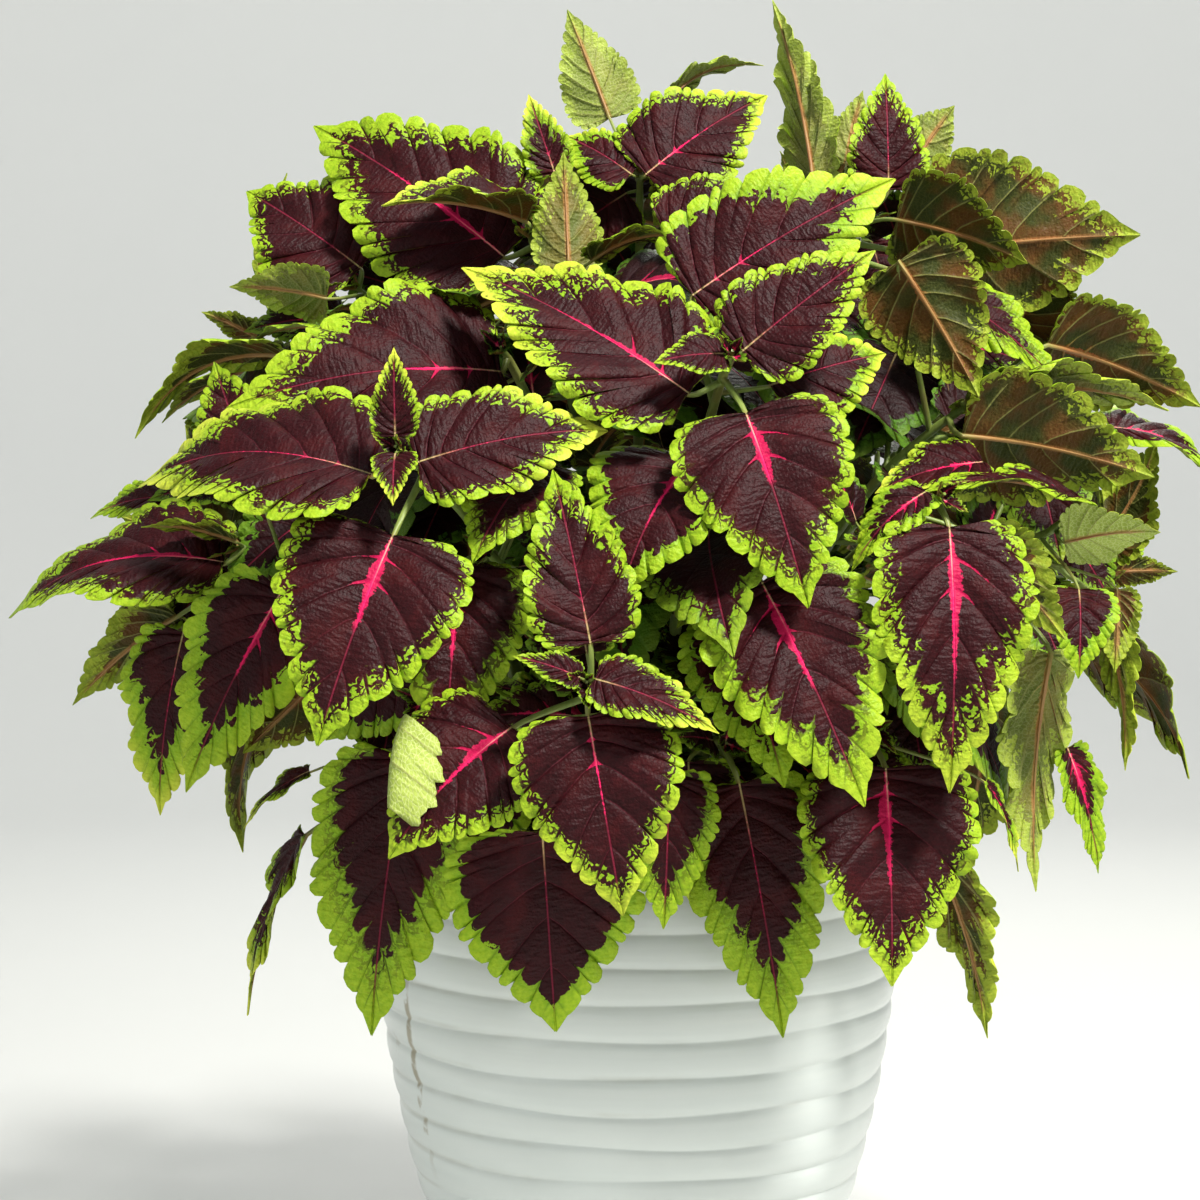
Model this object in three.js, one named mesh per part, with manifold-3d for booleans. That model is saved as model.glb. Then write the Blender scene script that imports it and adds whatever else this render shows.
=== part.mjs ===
// A potted coleus in a ribbed, glazed pot. Millimetres, Z up, origin at the centre of the
// pot's flat underside. The plant's best side looks towards -Y.
//
// Every leafy stem is one solid: a square stem, its petioles and its blades. The stems stand
// in plain holes in the soil. The leaves of the best side are placed one by one, the rest
// grow in crossed pairs by a rule. A blade that would touch another is bent until it is clear.

import * as THREE from 'three';
import { mergeVertices } from 'three/addons/utils/BufferGeometryUtils.js';
import Module from 'manifold-3d';

const wasm = await Module();
wasm.setup();

// ---- Driving dimensions ----

const POT = {
  height: 500,
  baseRadius: 112,
  bellyRadius: 192,
  bellyHeight: 380,
  bellyPower: 1.2, // how soon the wall flares on its way up to the belly
  rimInset: 4, // how far the wall draws in again above the belly
  wall: 10,
  ribPitch: 25,
  ribDepth: 2.6,
  footBevel: 3,
  sides: 24,
};
const DRAIN = { count: 4, radius: 8, circle: 62, sides: 10 };
const SOIL = { gap: 0.3, edgeHeight: 464, crownHeight: 474 };
const STEM = {
  footWidth: 9,
  tipWidth: 4.4,
  footDepth: 55,
  holeGap: 0.35,
  bendOut: 0.2, // where a stem bends, as a share of the way from its foot out to its tip
  bendUp: 0.72, // and up
  leastRise: 62, // that takes a low stem over the pot's rim
  rings: 5,
};
const PETIOLE = {
  rootRadius: 2.4,
  tipRadius: 1.7,
  depth: 1.4, // of the section, in radii
  drop: 0.35, // how far below the blade it is rooted, as a share of its length
  shift: 22,
  rootRange: [0.06, 0.985],
};
const ROOT_STEPS = 40;
const BLADE = { halfThickness: 1.2, clearance: 1.3, lobes: 4, crest: 0.07, notch: 0.12 };

// The eye that the best side is laid out for: straight in front, a little above the rim.
const EYE = { distance: 1841, height: 691 };

const COLOURS = { pot: '#d4dcd8', soil: '#2a2019', leaf: '#5a1f2c' };

// ---- The layout ----

// A point that, from the eye, is seen at (across, up) in the upright plane through the pot's
// axis, while it stands nearer to the eye than that plane by near.
function seen([across, up, near]) {
  const share = (EYE.distance - near) / EYE.distance;
  const height = EYE.height + (up - EYE.height) * share;
  return new THREE.Vector3(across * share, -near, height);
}

// Leafy stems: name, distance of the foot from the pot's axis, the growing tip as seen, and
// the first of the pairs in PAIRS that grows on it by rule. On the best side, placed leaves
// stand in for the pairs above that one.
const STEMS = [
  ['a', 118, [-178, 727, 338], 4],
  ['b', 140, [-37, 553, 384], 5],
  ['c', 98, [70, 797, 300], 3],
  ['d', 62, [-100, 800, 212], 3],
  ['e', 138, [-112, 652, 290], 4],
  ['f', 128, [-296, 655, 112], 4],
  ['g', 135, [314, 668, 200], 4],
  ['h', 122, [226, 692, 305], 3],
  ['i', 92, [245, 758, 168], 3],
  ['j', 92, [-208, 846, 128], 2],
  ['k', 140, [84, 652, 300], 5],
  ['m', 150, [-160, 540, 240], 5],
  ['n', 152, [-72, 492, 246], 5],
  ['q', 152, [66, 508, 226], 5],
  ['r', 150, [176, 520, 256], 5],
  ['t', 44, [-80, 884, 150], 2],
  ['u', 18, [2, 930, 66], 2],
  ['v', 52, [166, 896, 98], 2],
  ['back1', 84, [-276, 800, -90], 0],
  ['back2', 60, [-118, 880, -170], 0],
  ['back3', 62, [120, 890, -150], 0],
  ['back4', 92, [285, 800, -80], 0],
  ['back5', 140, [-330, 650, -150], 0],
  ['back6', 120, [-190, 705, -290], 0],
  ['back7', 100, [0, 770, -320], 0],
  ['back8', 122, [200, 700, -290], 0],
  ['back9', 142, [345, 630, -120], 0],
  ['back10', 138, [-80, 590, -360], 0],
  ['back11', 126, [100, 570, -370], 0],
];

// Leaves placed one by one: stem, blade base, blade tip, width over length, arch over length,
// where the upper face looks (right, near, up) and, for a folded blade, the fold in degrees.
const PLACED_LEAVES = [
  ['a', [-178, 734, 340], [-179, 800, 346], 0.54, 0.02, [0, 9, 3]],
  ['a', [-178, 722, 344], [-180, 684, 376], 0.62, 0.1, [0, 7, 7]],
  ['a', [-196, 708, 330], [-371, 701, 262], 0.68, 0.12, [-1, 6, 8]],
  ['a', [-162, 716, 330], [-20, 741, 300], 0.68, 0.06, [0, 8, 6]],
  ['a', [-180, 662, 345], [-238, 505, 388], 0.86, 0.07, [0, 9, 4]],
  ['b', [-42, 557, 386], [-92, 573, 386], 0.52, 0.05, [0, 8, 6]],
  ['b', [-31, 556, 388], [62, 516, 394], 0.52, 0.08, [0, 8, 6]],
  ['b', [-36, 528, 384], [-10, 378, 404], 0.84, 0.05, [0, 9, 3]],
  ['b', [-34, 582, 372], [-62, 712, 338], 0.6, 0.05, [1, 9, 2]],
  ['b', [-93, 520, 346], [-186, 422, 370], 0.92, 0.1, [-1, 8, 6]],
  ['c', [64, 795, 300], [12, 789, 314], 0.75, 0.05, [0, 8, 6]],
  ['c', [77, 797, 300], [175, 872, 286], 0.7, 0.03, [1, 8, 5]],
  ['c', [80, 752, 306], [127, 608, 350], 0.84, 0.07, [0, 9, 4]],
  ['c', [38, 767, 284], [-130, 862, 236], 0.64, 0.05, [-1, 7, 6]],
  ['c', [40, 716, 286], [-17, 633, 352], 0.98, 0.14, [-1, 7, 7]],
  ['c', [40, 838, 236], [190, 925, 208], 0.68, 0.05, [1, 8, 5]],
  ['c', [98, 772, 262], [184, 796, 226], 0.9, 0.04, [1, 8, 4]],
  ['d', [-100, 783, 214], [-304, 758, 258], 0.74, 0.09, [-1, 8, 5]],
  ['e', [-130, 640, 298], [-143, 503, 340], 0.76, 0.05, [0, 9, 3]],
  ['e', [-72, 715, 286], [-122, 642, 338], 0.82, 0.1, [-1, 8, 5]],
  ['k', [92, 628, 312], [170, 461, 360], 0.72, 0.05, [1, 9, 4]],
  ['k', [70, 600, 300], [110, 475, 340], 0.72, 0.05, [1, 9, 3]],
  ['m', [-172, 498, 236], [-199, 286, 226], 0.56, 0.05, [-1, 9, 3]],
  ['m', [-243, 487, 180], [-293, 445, 176], 0.5, 0.08, [0, 3, 9]],
  ['m', [-248, 440, 156], [-294, 304, 150], 0.4, 0.04, [-9, 3, 3]],
  ['m', [-222, 566, 176], [-292, 500, 172], 0.8, 0.05, [0, -9, 2]],
  ['m', [-160, 575, 204], [-222, 498, 196], 0.84, 0.05, [-1, 9, 3]],
  ['m', [-122, 500, 232], [-148, 372, 214], 0.78, 0.04, [0, 9, 2]],
  ['n', [-70, 442, 272], [-60, 290, 262], 0.96, 0.03, [0, 9, 2]],
  ['n', [24, 486, 300], [20, 368, 300], 0.62, 0.05, [1, 9, 3]],
  ['q', [38, 494, 222], [42, 384, 208], 0.7, 0.04, [0, 9, 2]],
  ['q', [76, 478, 240], [110, 286, 240], 0.56, 0.04, [1, 9, 2]],
  ['r', [184, 490, 290], [190, 326, 324], 0.84, 0.04, [1, 9, 3]],
  ['r', [258, 480, 226], [284, 413, 228], 0.45, 0.05, [9, 3, 2]],
  ['r', [216, 440, 216], [263, 290, 196], 0.36, 0.05, [6, -6, 3]],
  ['h', [230, 668, 316], [232, 470, 346], 0.6, 0.07, [1, 9, 3]],
  ['h', [250, 660, 278], [316, 585, 268], 0.62, 0.06, [0, -8, 5]],
  ['h', [212, 694, 300], [154, 640, 316], 0.55, 0.12, [-2, 7, 7]],
  ['g', [326, 688, 226], [204, 694, 262], 0.5, 0.1, [0, 3, 9]],
  ['g', [314, 657, 214], [400, 695, 204], 0.95, 0.05, [0, -9, 3]],
  ['g', [325, 622, 224], [325, 556, 252], 0.8, 0.14, [0, 7, 7]],
  ['g', [353, 622, 204], [352, 560, 204], 0.56, 0.06, [3, -8, 2]],
  ['g', [342, 612, 186], [363, 488, 180], 0.34, 0.05, [8, -4, 2]],
  ['g', [302, 575, 204], [291, 398, 196], 0.38, 0.04, [-5, -7, 2]],
  ['g', [318, 505, 176], [343, 411, 170], 0.42, 0.04, [5, 7, 2]],
  ['i', [240, 762, 180], [390, 757, 150], 0.52, 0.08, [0, -5, 8]],
  ['i', [238, 736, 194], [380, 706, 180], 0.76, 0.06, [0, -8, 5]],
  ['i', [300, 802, 112], [413, 757, 84], 0.74, 0.08, [0, -8, 5]],
  ['i', [346, 742, 86], [442, 688, 60], 0.62, 0.12, [3, 6, 8]],
  ['i', [192, 862, 196], [252, 762, 214], 0.8, 0.06, [1, -8, 4]],
  ['i', [254, 716, 212], [174, 694, 224], 0.76, 0.06, [0, 5, 8]],
  ['f', [-306, 643, 122], [-468, 603, 80], 0.64, 0.14, [-2, 6, 8]],
  ['f', [-296, 658, 126], [-387, 678, 112], 0.56, 0.05, [0, -7, 7]],
  ['f', [-340, 690, 62], [-405, 675, 40], 0.6, 0.08, [0, 6, 8]],
  ['f', [-340, 603, 84], [-419, 537, 60], 0.5, 0.06, [0, -6, 8]],
  ['f', [-262, 622, 186], [-337, 470, 190], 0.62, 0.05, [-2, 9, 3]],
  ['f', [-336, 590, 124], [-356, 452, 112], 0.56, 0.05, [-3, 8, 2]],
  ['f', [-283, 705, 196], [-312, 790, 192], 0.84, 0.03, [-1, 9, 2]],
  ['j', [-203, 858, 130], [-288, 916, 92], 0.95, 0.04, [-1, 8, 5]],
  ['j', [-228, 836, 160], [-300, 845, 162], 0.72, 0.05, [0, -8, 6]],
  ['j', [-230, 815, 152], [-288, 822, 142], 0.7, 0.06, [0, 6, 8]],
  ['j', [-258, 795, 128], [-372, 735, 112], 0.56, 0.18, [-1, -7, 7]],
  ['t', [-98, 867, 150], [-239, 965, 92], 0.72, 0.05, [-1, 8, 5]],
  ['t', [-80, 893, 160], [-188, 906, 190], 0.74, 0.06, [0, 2, 9], 34],
  ['t', [-60, 926, 132], [-80, 985, 120], 0.55, 0.04, [-1, 8, 3]],
  ['t', [-50, 856, 168], [-68, 940, 150], 0.58, 0.04, [-1, -9, 2]],
  ['t', [-34, 864, 182], [52, 876, 214], 0.5, 0.13, [0, 4, 9]],
  ['u', [6, 926, 92], [96, 985, 52], 0.78, 0.05, [0, 8, 5]],
  ['u', [-4, 926, 90], [-54, 955, 64], 0.84, 0.05, [0, 8, 5]],
  ['u', [-20, 966, 34], [-51, 1045, 24], 0.64, 0.04, [0, -9, 2]],
  ['u', [22, 980, 32], [92, 1006, 20], 0.42, 0.14, [0, -3, 8]],
  ['u', [20, 884, 128], [105, 914, 112], 0.74, 0.04, [0, 8, 4]],
  ['u', [46, 938, 60], [10, 886, 66], 0.9, 0.06, [0, -9, 2]],
  ['u', [-8, 912, 60], [-64, 872, 56], 0.95, 0.06, [0, 9, 2]],
  ['u', [12, 880, 44], [64, 838, 40], 0.95, 0.06, [0, 9, 2]],
  ['v', [131, 918, 74], [101, 1052, 52], 0.34, 0.03, [6, -7, 1]],
  ['v', [152, 932, 60], [164, 986, 50], 0.6, 0.03, [-2, -9, 1]],
  ['v', [184, 914, 112], [181, 1000, 92], 0.64, 0.04, [0, 9, 1]],
  ['v', [200, 930, 70], [231, 975, 60], 0.9, 0.05, [0, -9, 3]],
  ['v', [208, 868, 62], [367, 882, 32], 0.84, 0.06, [0, -9, 3]],
  ['v', [190, 893, 130], [287, 861, 158], 0.86, 0.08, [0, -8, 5]],
  ['v', [216, 846, 112], [330, 798, 132], 0.52, 0.06, [0, 6, 7]],
  ['v', [172, 876, 50], [192, 800, 60], 0.8, 0.05, [0, 9, 3]],
];

// Pairs that grow by rule, from the growing tip down: place on the stem, blade length,
// angle from the stem's axis, petiole length, width over length and arch over length.
const PAIRS = [
  { along: 0.99, length: 52, lean: 34, petiole: 8, wide: 0.56, arch: 0.03 },
  { along: 0.95, length: 102, lean: 62, petiole: 26, wide: 0.7, arch: 0.07 },
  { along: 0.84, length: 150, lean: 84, petiole: 44, wide: 0.76, arch: 0.1 },
  { along: 0.66, length: 158, lean: 98, petiole: 50, wide: 0.76, arch: 0.12 },
];
const FOLD = 9;
const DROOP = 0.3; // how much a side leaf hangs, as a share of its direction
const SEED = 7;

// Bends to try on a blade, least first: degrees about its width, its length and its face.
const BEND = {
  pitch: [0, 6, -6, 12, -12, 18, -18, 26, -26],
  roll: [0, 14, -14, 28, -28],
  yaw: [0, 9, -9],
};
const BEND_UNIT = { pitch: 6, roll: 12, yaw: 6 };

// If no bend will do, the blade is made smaller by these shares of its length.
const SHRINK = [1, 0.86, 0.72];
const SHRINK_COST = 5;

// And its petiole is rooted higher or lower on the stem by these many steps.
const SHIFTS = [0, 1, -1, 2, -2];

// ---- Small helpers ----

const UP = new THREE.Vector3(0, 0, 1);

function chance(...keys) {
  let sum = SEED;
  keys.forEach((key, place) => {
    sum += key * (12.9898 + 65.233 * place);
  });
  const wave = Math.sin(sum) * 43758.5453;
  return wave - Math.floor(wave);
}

function turned(vector, axis, degrees) {
  return vector.clone().applyAxisAngle(axis, THREE.MathUtils.degToRad(degrees));
}

function solidOf(points, faces) {
  const vertProperties = new Float32Array(points.flatMap((p) => [p.x, p.y, p.z]));
  const triVerts = new Uint32Array(faces.flat());
  return new wasm.Manifold(new wasm.Mesh({ numProp: 3, vertProperties, triVerts }));
}

function solidOfGeometry(geometry) {
  geometry.deleteAttribute('normal');
  geometry.deleteAttribute('uv');
  const merged = mergeVertices(geometry, 1e-4);
  const vertProperties = new Float32Array(merged.attributes.position.array);
  const triVerts = new Uint32Array(merged.index.array);
  return new wasm.Manifold(new wasm.Mesh({ numProp: 3, vertProperties, triVerts }));
}

function geometryOf(solid) {
  const mesh = solid.getMesh();
  const positions = new Float32Array(mesh.numVert * 3);
  for (let v = 0; v < mesh.numVert; v += 1) {
    for (let axis = 0; axis < 3; axis += 1) {
      positions[v * 3 + axis] = mesh.vertProperties[v * mesh.numProp + axis];
    }
  }
  const geometry = new THREE.BufferGeometry();
  geometry.setAttribute('position', new THREE.BufferAttribute(positions, 3));
  geometry.setIndex(new THREE.BufferAttribute(new Uint32Array(mesh.triVerts), 1));
  geometry.computeVertexNormals();
  return geometry;
}

function namedMesh(name, solid, colour, roughness) {
  const material = new THREE.MeshStandardMaterial({ color: colour, roughness, metalness: 0 });
  const mesh = new THREE.Mesh(geometryOf(solid), material);
  mesh.name = name;
  return mesh;
}

// A tapered bar of the given number of sides through rings: { at, along, radius }.
function bar(rings, sides, across) {
  const points = [];
  const faces = [];
  rings.forEach(({ at, along, radius }, ring) => {
    const u = across.clone().addScaledVector(along, -across.dot(along)).normalize();
    const v = new THREE.Vector3().crossVectors(along, u);
    for (let side = 0; side < sides; side += 1) {
      const angle = (2 * Math.PI * (side + 0.5)) / sides;
      const out = u.clone().multiplyScalar(Math.cos(angle)).addScaledVector(v, Math.sin(angle));
      points.push(at.clone().addScaledVector(out, radius));
      if (ring > 0) {
        const low = (ring - 1) * sides;
        const next = (side + 1) % sides;
        faces.push([low + side, low + next, low + sides + next]);
        faces.push([low + side, low + sides + next, low + sides + side]);
      }
    }
  });
  const last = (rings.length - 1) * sides;
  for (let side = 1; side < sides - 1; side += 1) {
    faces.push([0, side + 1, side]);
    faces.push([last, last + side, last + side + 1]);
  }
  return solidOf(points, faces);
}

// ---- Pot and soil ----

function potRadius(height) {
  const { baseRadius, bellyRadius, bellyHeight, bellyPower, rimInset } = POT;
  if (height > bellyHeight) {
    const above = (height - bellyHeight) / (POT.height - bellyHeight);
    return bellyRadius - rimInset * above * above;
  }
  const rise = (height / bellyHeight) ** bellyPower;
  return baseRadius + (bellyRadius - baseRadius) * Math.sin((Math.PI / 2) * rise);
}

// Heights at which the inside of the wall has corners: the soil's side follows them.
const INNER_HEIGHTS = [100, 200, 300, 400, SOIL.edgeHeight];

function buildPot() {
  const { height, footBevel, ribPitch, ribDepth, wall, sides } = POT;
  const profile = [new THREE.Vector2(0, 0), new THREE.Vector2(potRadius(0) - footBevel, 0)];
  for (let groove = 0; groove < height; groove += ribPitch) {
    const crest = groove + ribPitch / 2;
    if (groove > 0) profile.push(new THREE.Vector2(potRadius(groove) - ribDepth, groove));
    profile.push(new THREE.Vector2(potRadius(crest), crest));
  }
  profile.push(new THREE.Vector2(potRadius(height) - ribDepth, height));
  profile.push(new THREE.Vector2(potRadius(height) - wall, height));
  for (const inner of [...INNER_HEIGHTS].reverse()) {
    profile.push(new THREE.Vector2(potRadius(inner) - wall, inner));
  }
  profile.push(new THREE.Vector2(potRadius(wall) - wall, wall));
  profile.push(new THREE.Vector2(0, wall));
  const shell = solidOfGeometry(new THREE.LatheGeometry(profile, sides));
  const drains = [];
  for (let drain = 0; drain < DRAIN.count; drain += 1) {
    const angle = (2 * Math.PI * (drain + 0.5)) / DRAIN.count;
    const hole = new THREE.CylinderGeometry(DRAIN.radius, DRAIN.radius, 4 * wall, DRAIN.sides);
    hole.rotateX(Math.PI / 2);
    hole.translate(DRAIN.circle * Math.cos(angle), DRAIN.circle * Math.sin(angle), 0);
    drains.push(solidOfGeometry(hole));
  }
  const upright = shell.rotate([90, 0, 0]);
  return drains.reduce((pot, drain) => pot.subtract(drain), upright);
}

function buildSoil(stems) {
  const { gap, crownHeight } = SOIL;
  const inset = POT.wall + gap;
  const floor = POT.wall + gap;
  const profile = [new THREE.Vector2(0, floor), new THREE.Vector2(potRadius(floor) - inset, floor)];
  for (const inner of INNER_HEIGHTS) {
    profile.push(new THREE.Vector2(potRadius(inner) - inset, inner));
  }
  profile.push(new THREE.Vector2(0, crownHeight));
  const filling = solidOfGeometry(new THREE.LatheGeometry(profile, POT.sides)).rotate([90, 0, 0]);
  const holes = stems.map((stem) => {
    const low = stem.foot.clone().setZ(stem.foot.z - STEM.holeGap);
    const high = stem.foot.clone().setZ(crownHeight + STEM.footDepth);
    const radius = barRadius(STEM.footWidth) + STEM.holeGap * Math.SQRT2;
    const rings = [low, high].map((at) => ({ at, along: UP, radius }));
    return bar(rings, 4, stem.outward);
  });
  return filling.subtract(wasm.Manifold.union(holes));
}

// ---- Stems ----

// Corner distance of a square bar of the given width.
function barRadius(width) {
  return width * Math.SQRT1_2;
}

// A stem leaves its hole upright, then leans outwards to its growing tip.
function layStem([name, footRadius, apex, firstPair], index) {
  const tip = seen(apex);
  const outward = new THREE.Vector3(tip.x, tip.y, 0).normalize();
  const soilTop = outward.clone().multiplyScalar(footRadius).setZ(SOIL.crownHeight);
  const foot = soilTop.clone().setZ(SOIL.edgeHeight - STEM.footDepth);
  const bendPoint = soilTop.clone().lerp(tip, STEM.bendOut);
  bendPoint.z = soilTop.z + Math.max(STEM.leastRise, (tip.z - soilTop.z) * STEM.bendUp);
  const curve = new THREE.QuadraticBezierCurve3(soilTop, bendPoint, tip);
  return { name, index, foot, outward, curve, length: curve.getLength(), firstPair };
}

// A point of the bar's middle line, which is straight from ring to ring.
function stemPoint({ curve }, t) {
  const spans = STEM.rings - 1;
  const span = Math.min(Math.floor(t * spans), spans - 1);
  return curve.getPoint(span / spans).lerp(curve.getPoint((span + 1) / spans), t * spans - span);
}

function stemSolid({ foot, outward, curve }) {
  const rings = [{ at: foot, along: UP, radius: barRadius(STEM.footWidth) }];
  for (let ring = 0; ring < STEM.rings; ring += 1) {
    const t = ring / (STEM.rings - 1);
    const width = THREE.MathUtils.lerp(STEM.footWidth, STEM.tipWidth, t);
    const along = ring === 0 ? UP : curve.getTangent(t);
    rings.push({ at: curve.getPoint(t), along, radius: barRadius(width) });
  }
  return bar(rings, 4, outward);
}

// ---- Leaves ----

// Half of the blade's outline, base to tip: distance along the midrib and out from it, as
// shares of the length and of the full width. Crests and notches take turns.
function outlinePoint(t, swell) {
  const along = t ** 1.5;
  const heart = 0.055 * Math.sin(Math.PI * Math.min(1, t / 0.4));
  const ovate = 2.193 * along ** 0.38 * (1 - along) ** 0.92;
  return { a: along - heart, c: 0.5 * ovate * (1 + swell) };
}

function halfOutline() {
  const points = [];
  for (let step = 1; step < 2 * BLADE.lobes; step += 1) {
    const crest = step % 2 === 1;
    points.push(outlinePoint(step / (2 * BLADE.lobes), crest ? BLADE.crest : -BLADE.notch));
  }
  return points;
}

const HALF_OUTLINE = halfOutline();
const MIDRIB = [0.2, 0.66];
const RIB_SPLIT = 0.43;

// The blade's own directions: along the midrib, out to its left and away from its upper face.
function bladeFrame(base, tip, facing) {
  const along = tip.clone().sub(base).normalize();
  const face = facing.clone().addScaledVector(along, -facing.dot(along)).normalize();
  const side = new THREE.Vector3().crossVectors(face, along);
  return { along, face, side };
}

function bentLeaf(leaf, bend) {
  const { along, side, face } = bladeFrame(leaf.base, leaf.tip, leaf.facing);
  let direction = turned(along, side, bend.pitch);
  let facing = turned(face, side, bend.pitch);
  direction = turned(direction, face, bend.yaw);
  facing = turned(facing, face, bend.yaw);
  facing = turned(facing, direction, bend.roll);
  const length = leaf.base.distanceTo(leaf.tip) * bend.scale;
  const tip = leaf.base.clone().addScaledVector(direction, length);
  return { ...leaf, tip, facing };
}

function bladePoint(leaf, frame, length, a, c, lift) {
  const bulge = 4 * leaf.arch * length * a * (1 - a);
  const fold = THREE.MathUtils.degToRad(leaf.fold);
  const out = c * leaf.wide * length;
  return leaf.base
    .clone()
    .addScaledVector(frame.along, a * length)
    .addScaledVector(frame.side, out * Math.cos(fold))
    .addScaledVector(frame.face, bulge + Math.abs(out) * Math.sin(fold) + lift);
}

// The closed outline of a blade, from its base up the left edge and down the right one.
function bladeOutline() {
  const left = HALF_OUTLINE.map(({ a, c }) => ({ a, c }));
  const right = HALF_OUTLINE.map(({ a, c }) => ({ a, c: -c })).reverse();
  return [...left, { a: 1, c: 0 }, ...right];
}

const OUTLINE = bladeOutline();
const RIB_OF_OUTLINE = OUTLINE.map(({ a }) => (a < RIB_SPLIT ? 0 : 1));

// Faces that fan from a blade's midrib corners to its edge. The edge is a list of corners
// from one side of the base to the other, and ribs holds the midrib corner for each of them.
function fanFaces(edge, ribs, upper) {
  const faces = [];
  const add = (p, q, r) => faces.push(upper ? [p, q, r] : [p, r, q]);
  edge.forEach((here, place) => {
    const after = (place + 1) % edge.length;
    add(ribs[place], edge[after], here);
    if (ribs[after] !== ribs[place]) add(ribs[place], ribs[after], edge[after]);
  });
  return faces;
}

// A lens-shaped blade: both faces share the outline and are split into the same triangles,
// each with a corner on the midrib, where the blade is thickest. With a petiole given, its
// three-sided tube is joined to the blade's base.
function leafSolid(leaf, halfThickness, petiole) {
  const frame = bladeFrame(leaf.base, leaf.tip, leaf.facing);
  const length = leaf.base.distanceTo(leaf.tip);
  const points = OUTLINE.map(({ a, c }) => bladePoint(leaf, frame, length, a, c, 0));
  const ribs = (lift) => {
    const rib = MIDRIB.map((a) => points.push(bladePoint(leaf, frame, length, a, 0, lift)) - 1);
    return [...RIB_OF_OUTLINE.map((place) => rib[place]), rib[0], rib[0], rib[0]];
  };
  const upper = ribs(halfThickness);
  const lower = ribs(-halfThickness);
  const edge = OUTLINE.map((point, place) => place);
  if (!petiole) {
    const closed = [...edge, points.push(leaf.base.clone()) - 1];
    return solidOf(points, [...fanFaces(closed, upper, true), ...fanFaces(closed, lower, false)]);
  }
  const rings = petiole.rings.map((ring) => ring.map((corner) => points.push(corner) - 1));
  const [one, other, third] = rings[0];
  const [left, right] = petiole.above ? [other, one] : [one, other];
  const plain = [...edge, right, left];
  const joined = [...edge, right, third, left];
  const faces = fanFaces(petiole.above ? joined : plain, upper, true);
  faces.push(...fanFaces(petiole.above ? plain : joined, lower, false));
  faces.push(...tubeFaces(rings));
  return solidOf(points, faces);
}

// The skin between rings of three corners, with the last ring closed.
function tubeFaces(rings) {
  const faces = [];
  for (let ring = 1; ring < rings.length; ring += 1) {
    for (let corner = 0; corner < 3; corner += 1) {
      const next = (corner + 1) % 3;
      const [near, far] = [rings[ring - 1], rings[ring]];
      faces.push([near[next], near[corner], far[corner]]);
      faces.push([near[next], far[corner], far[next]]);
    }
  }
  const end = rings[rings.length - 1];
  faces.push([end[0], end[2], end[1]]);
  return faces;
}

// A petiole leaves its stem below the blade: the point inside the stem where it is rooted.
function petioleRoot(leaf, stem, shift) {
  let nearest = 0;
  let reach = Infinity;
  for (let step = 0; step <= ROOT_STEPS; step += 1) {
    const distance = stemPoint(stem, step / ROOT_STEPS).distanceTo(leaf.base);
    if (distance < reach) [nearest, reach] = [step / ROOT_STEPS, distance];
  }
  const lower = (reach * PETIOLE.drop + shift * PETIOLE.shift) / stem.length;
  const [least, most] = PETIOLE.rootRange;
  return stemPoint(stem, THREE.MathUtils.clamp(nearest - lower, least, most));
}

// The corners of a petiole's two ends, at the blade's base and at the root inside the stem.
// Its third corner lies under the blade, or above it where the root is on that side.
function layPetiole(leaf, stem, shift, extra) {
  const { along, side, face } = bladeFrame(leaf.base, leaf.tip, leaf.facing);
  const root = petioleRoot(leaf, stem, shift);
  const way = root.clone().sub(leaf.base).normalize();
  const above = way.dot(face) > 0;
  const left = above ? side.clone().negate() : side;
  const third = way.dot(along) > 0 ? along : new THREE.Vector3().crossVectors(way, left).normalize();
  const rootLeft = left.clone().addScaledVector(way, -way.dot(left)).normalize();
  const rootThird = new THREE.Vector3().crossVectors(way, rootLeft);
  const ring = (at, radius, toLeft, toThird) => [
    at.clone().addScaledVector(toLeft, radius),
    at.clone().addScaledVector(toLeft, -radius),
    at.clone().addScaledVector(toThird, PETIOLE.depth * radius),
  ];
  const rings = [
    ring(leaf.base, PETIOLE.tipRadius + extra, left, third),
    ring(root, PETIOLE.rootRadius + extra, rootLeft, rootThird),
  ];
  return { rings, above };
}

function petioleSolid({ rings }) {
  const points = rings.flat();
  const corners = rings.map((ring, place) => ring.map((corner, k) => 3 * place + k));
  return solidOf(points, [[0, 1, 2], ...tubeFaces(corners)]);
}

// Leaves that grow by rule, in crossed pairs down the stem.
function ruledLeaves(stem) {
  const leaves = [];
  PAIRS.forEach((pair, order) => {
    if (order < stem.firstPair) return;
    const at = stem.curve.getPoint(pair.along);
    const axis = stem.curve.getTangent(pair.along);
    const across = new THREE.Vector3().crossVectors(axis, stem.outward).normalize();
    const turn = 90 * order + 50 * chance(stem.index, 1);
    for (const half of [0, 1]) {
      const luck = chance(stem.index, order, half);
      const radial = turned(across, axis, turn + 180 * half + 16 * (luck - 0.5));
      const lean = THREE.MathUtils.degToRad(pair.lean + 14 * (luck - 0.5));
      const direction = axis.clone().multiplyScalar(Math.cos(lean));
      direction.addScaledVector(radial, Math.sin(lean));
      direction.z -= DROOP * Math.sin(lean) * (order > 1 ? 1 : 0.2);
      direction.normalize();
      const base = at.clone().addScaledVector(direction, pair.petiole);
      base.z += 6;
      const length = pair.length * (0.88 + 0.24 * chance(stem.index, order, half + 2));
      const tip = base.clone().addScaledVector(direction, length);
      const facing = axis.clone().addScaledVector(UP, 0.3).normalize();
      leaves.push({ base, tip, facing, wide: pair.wide, arch: pair.arch, fold: FOLD });
    }
  });
  return leaves;
}

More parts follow.
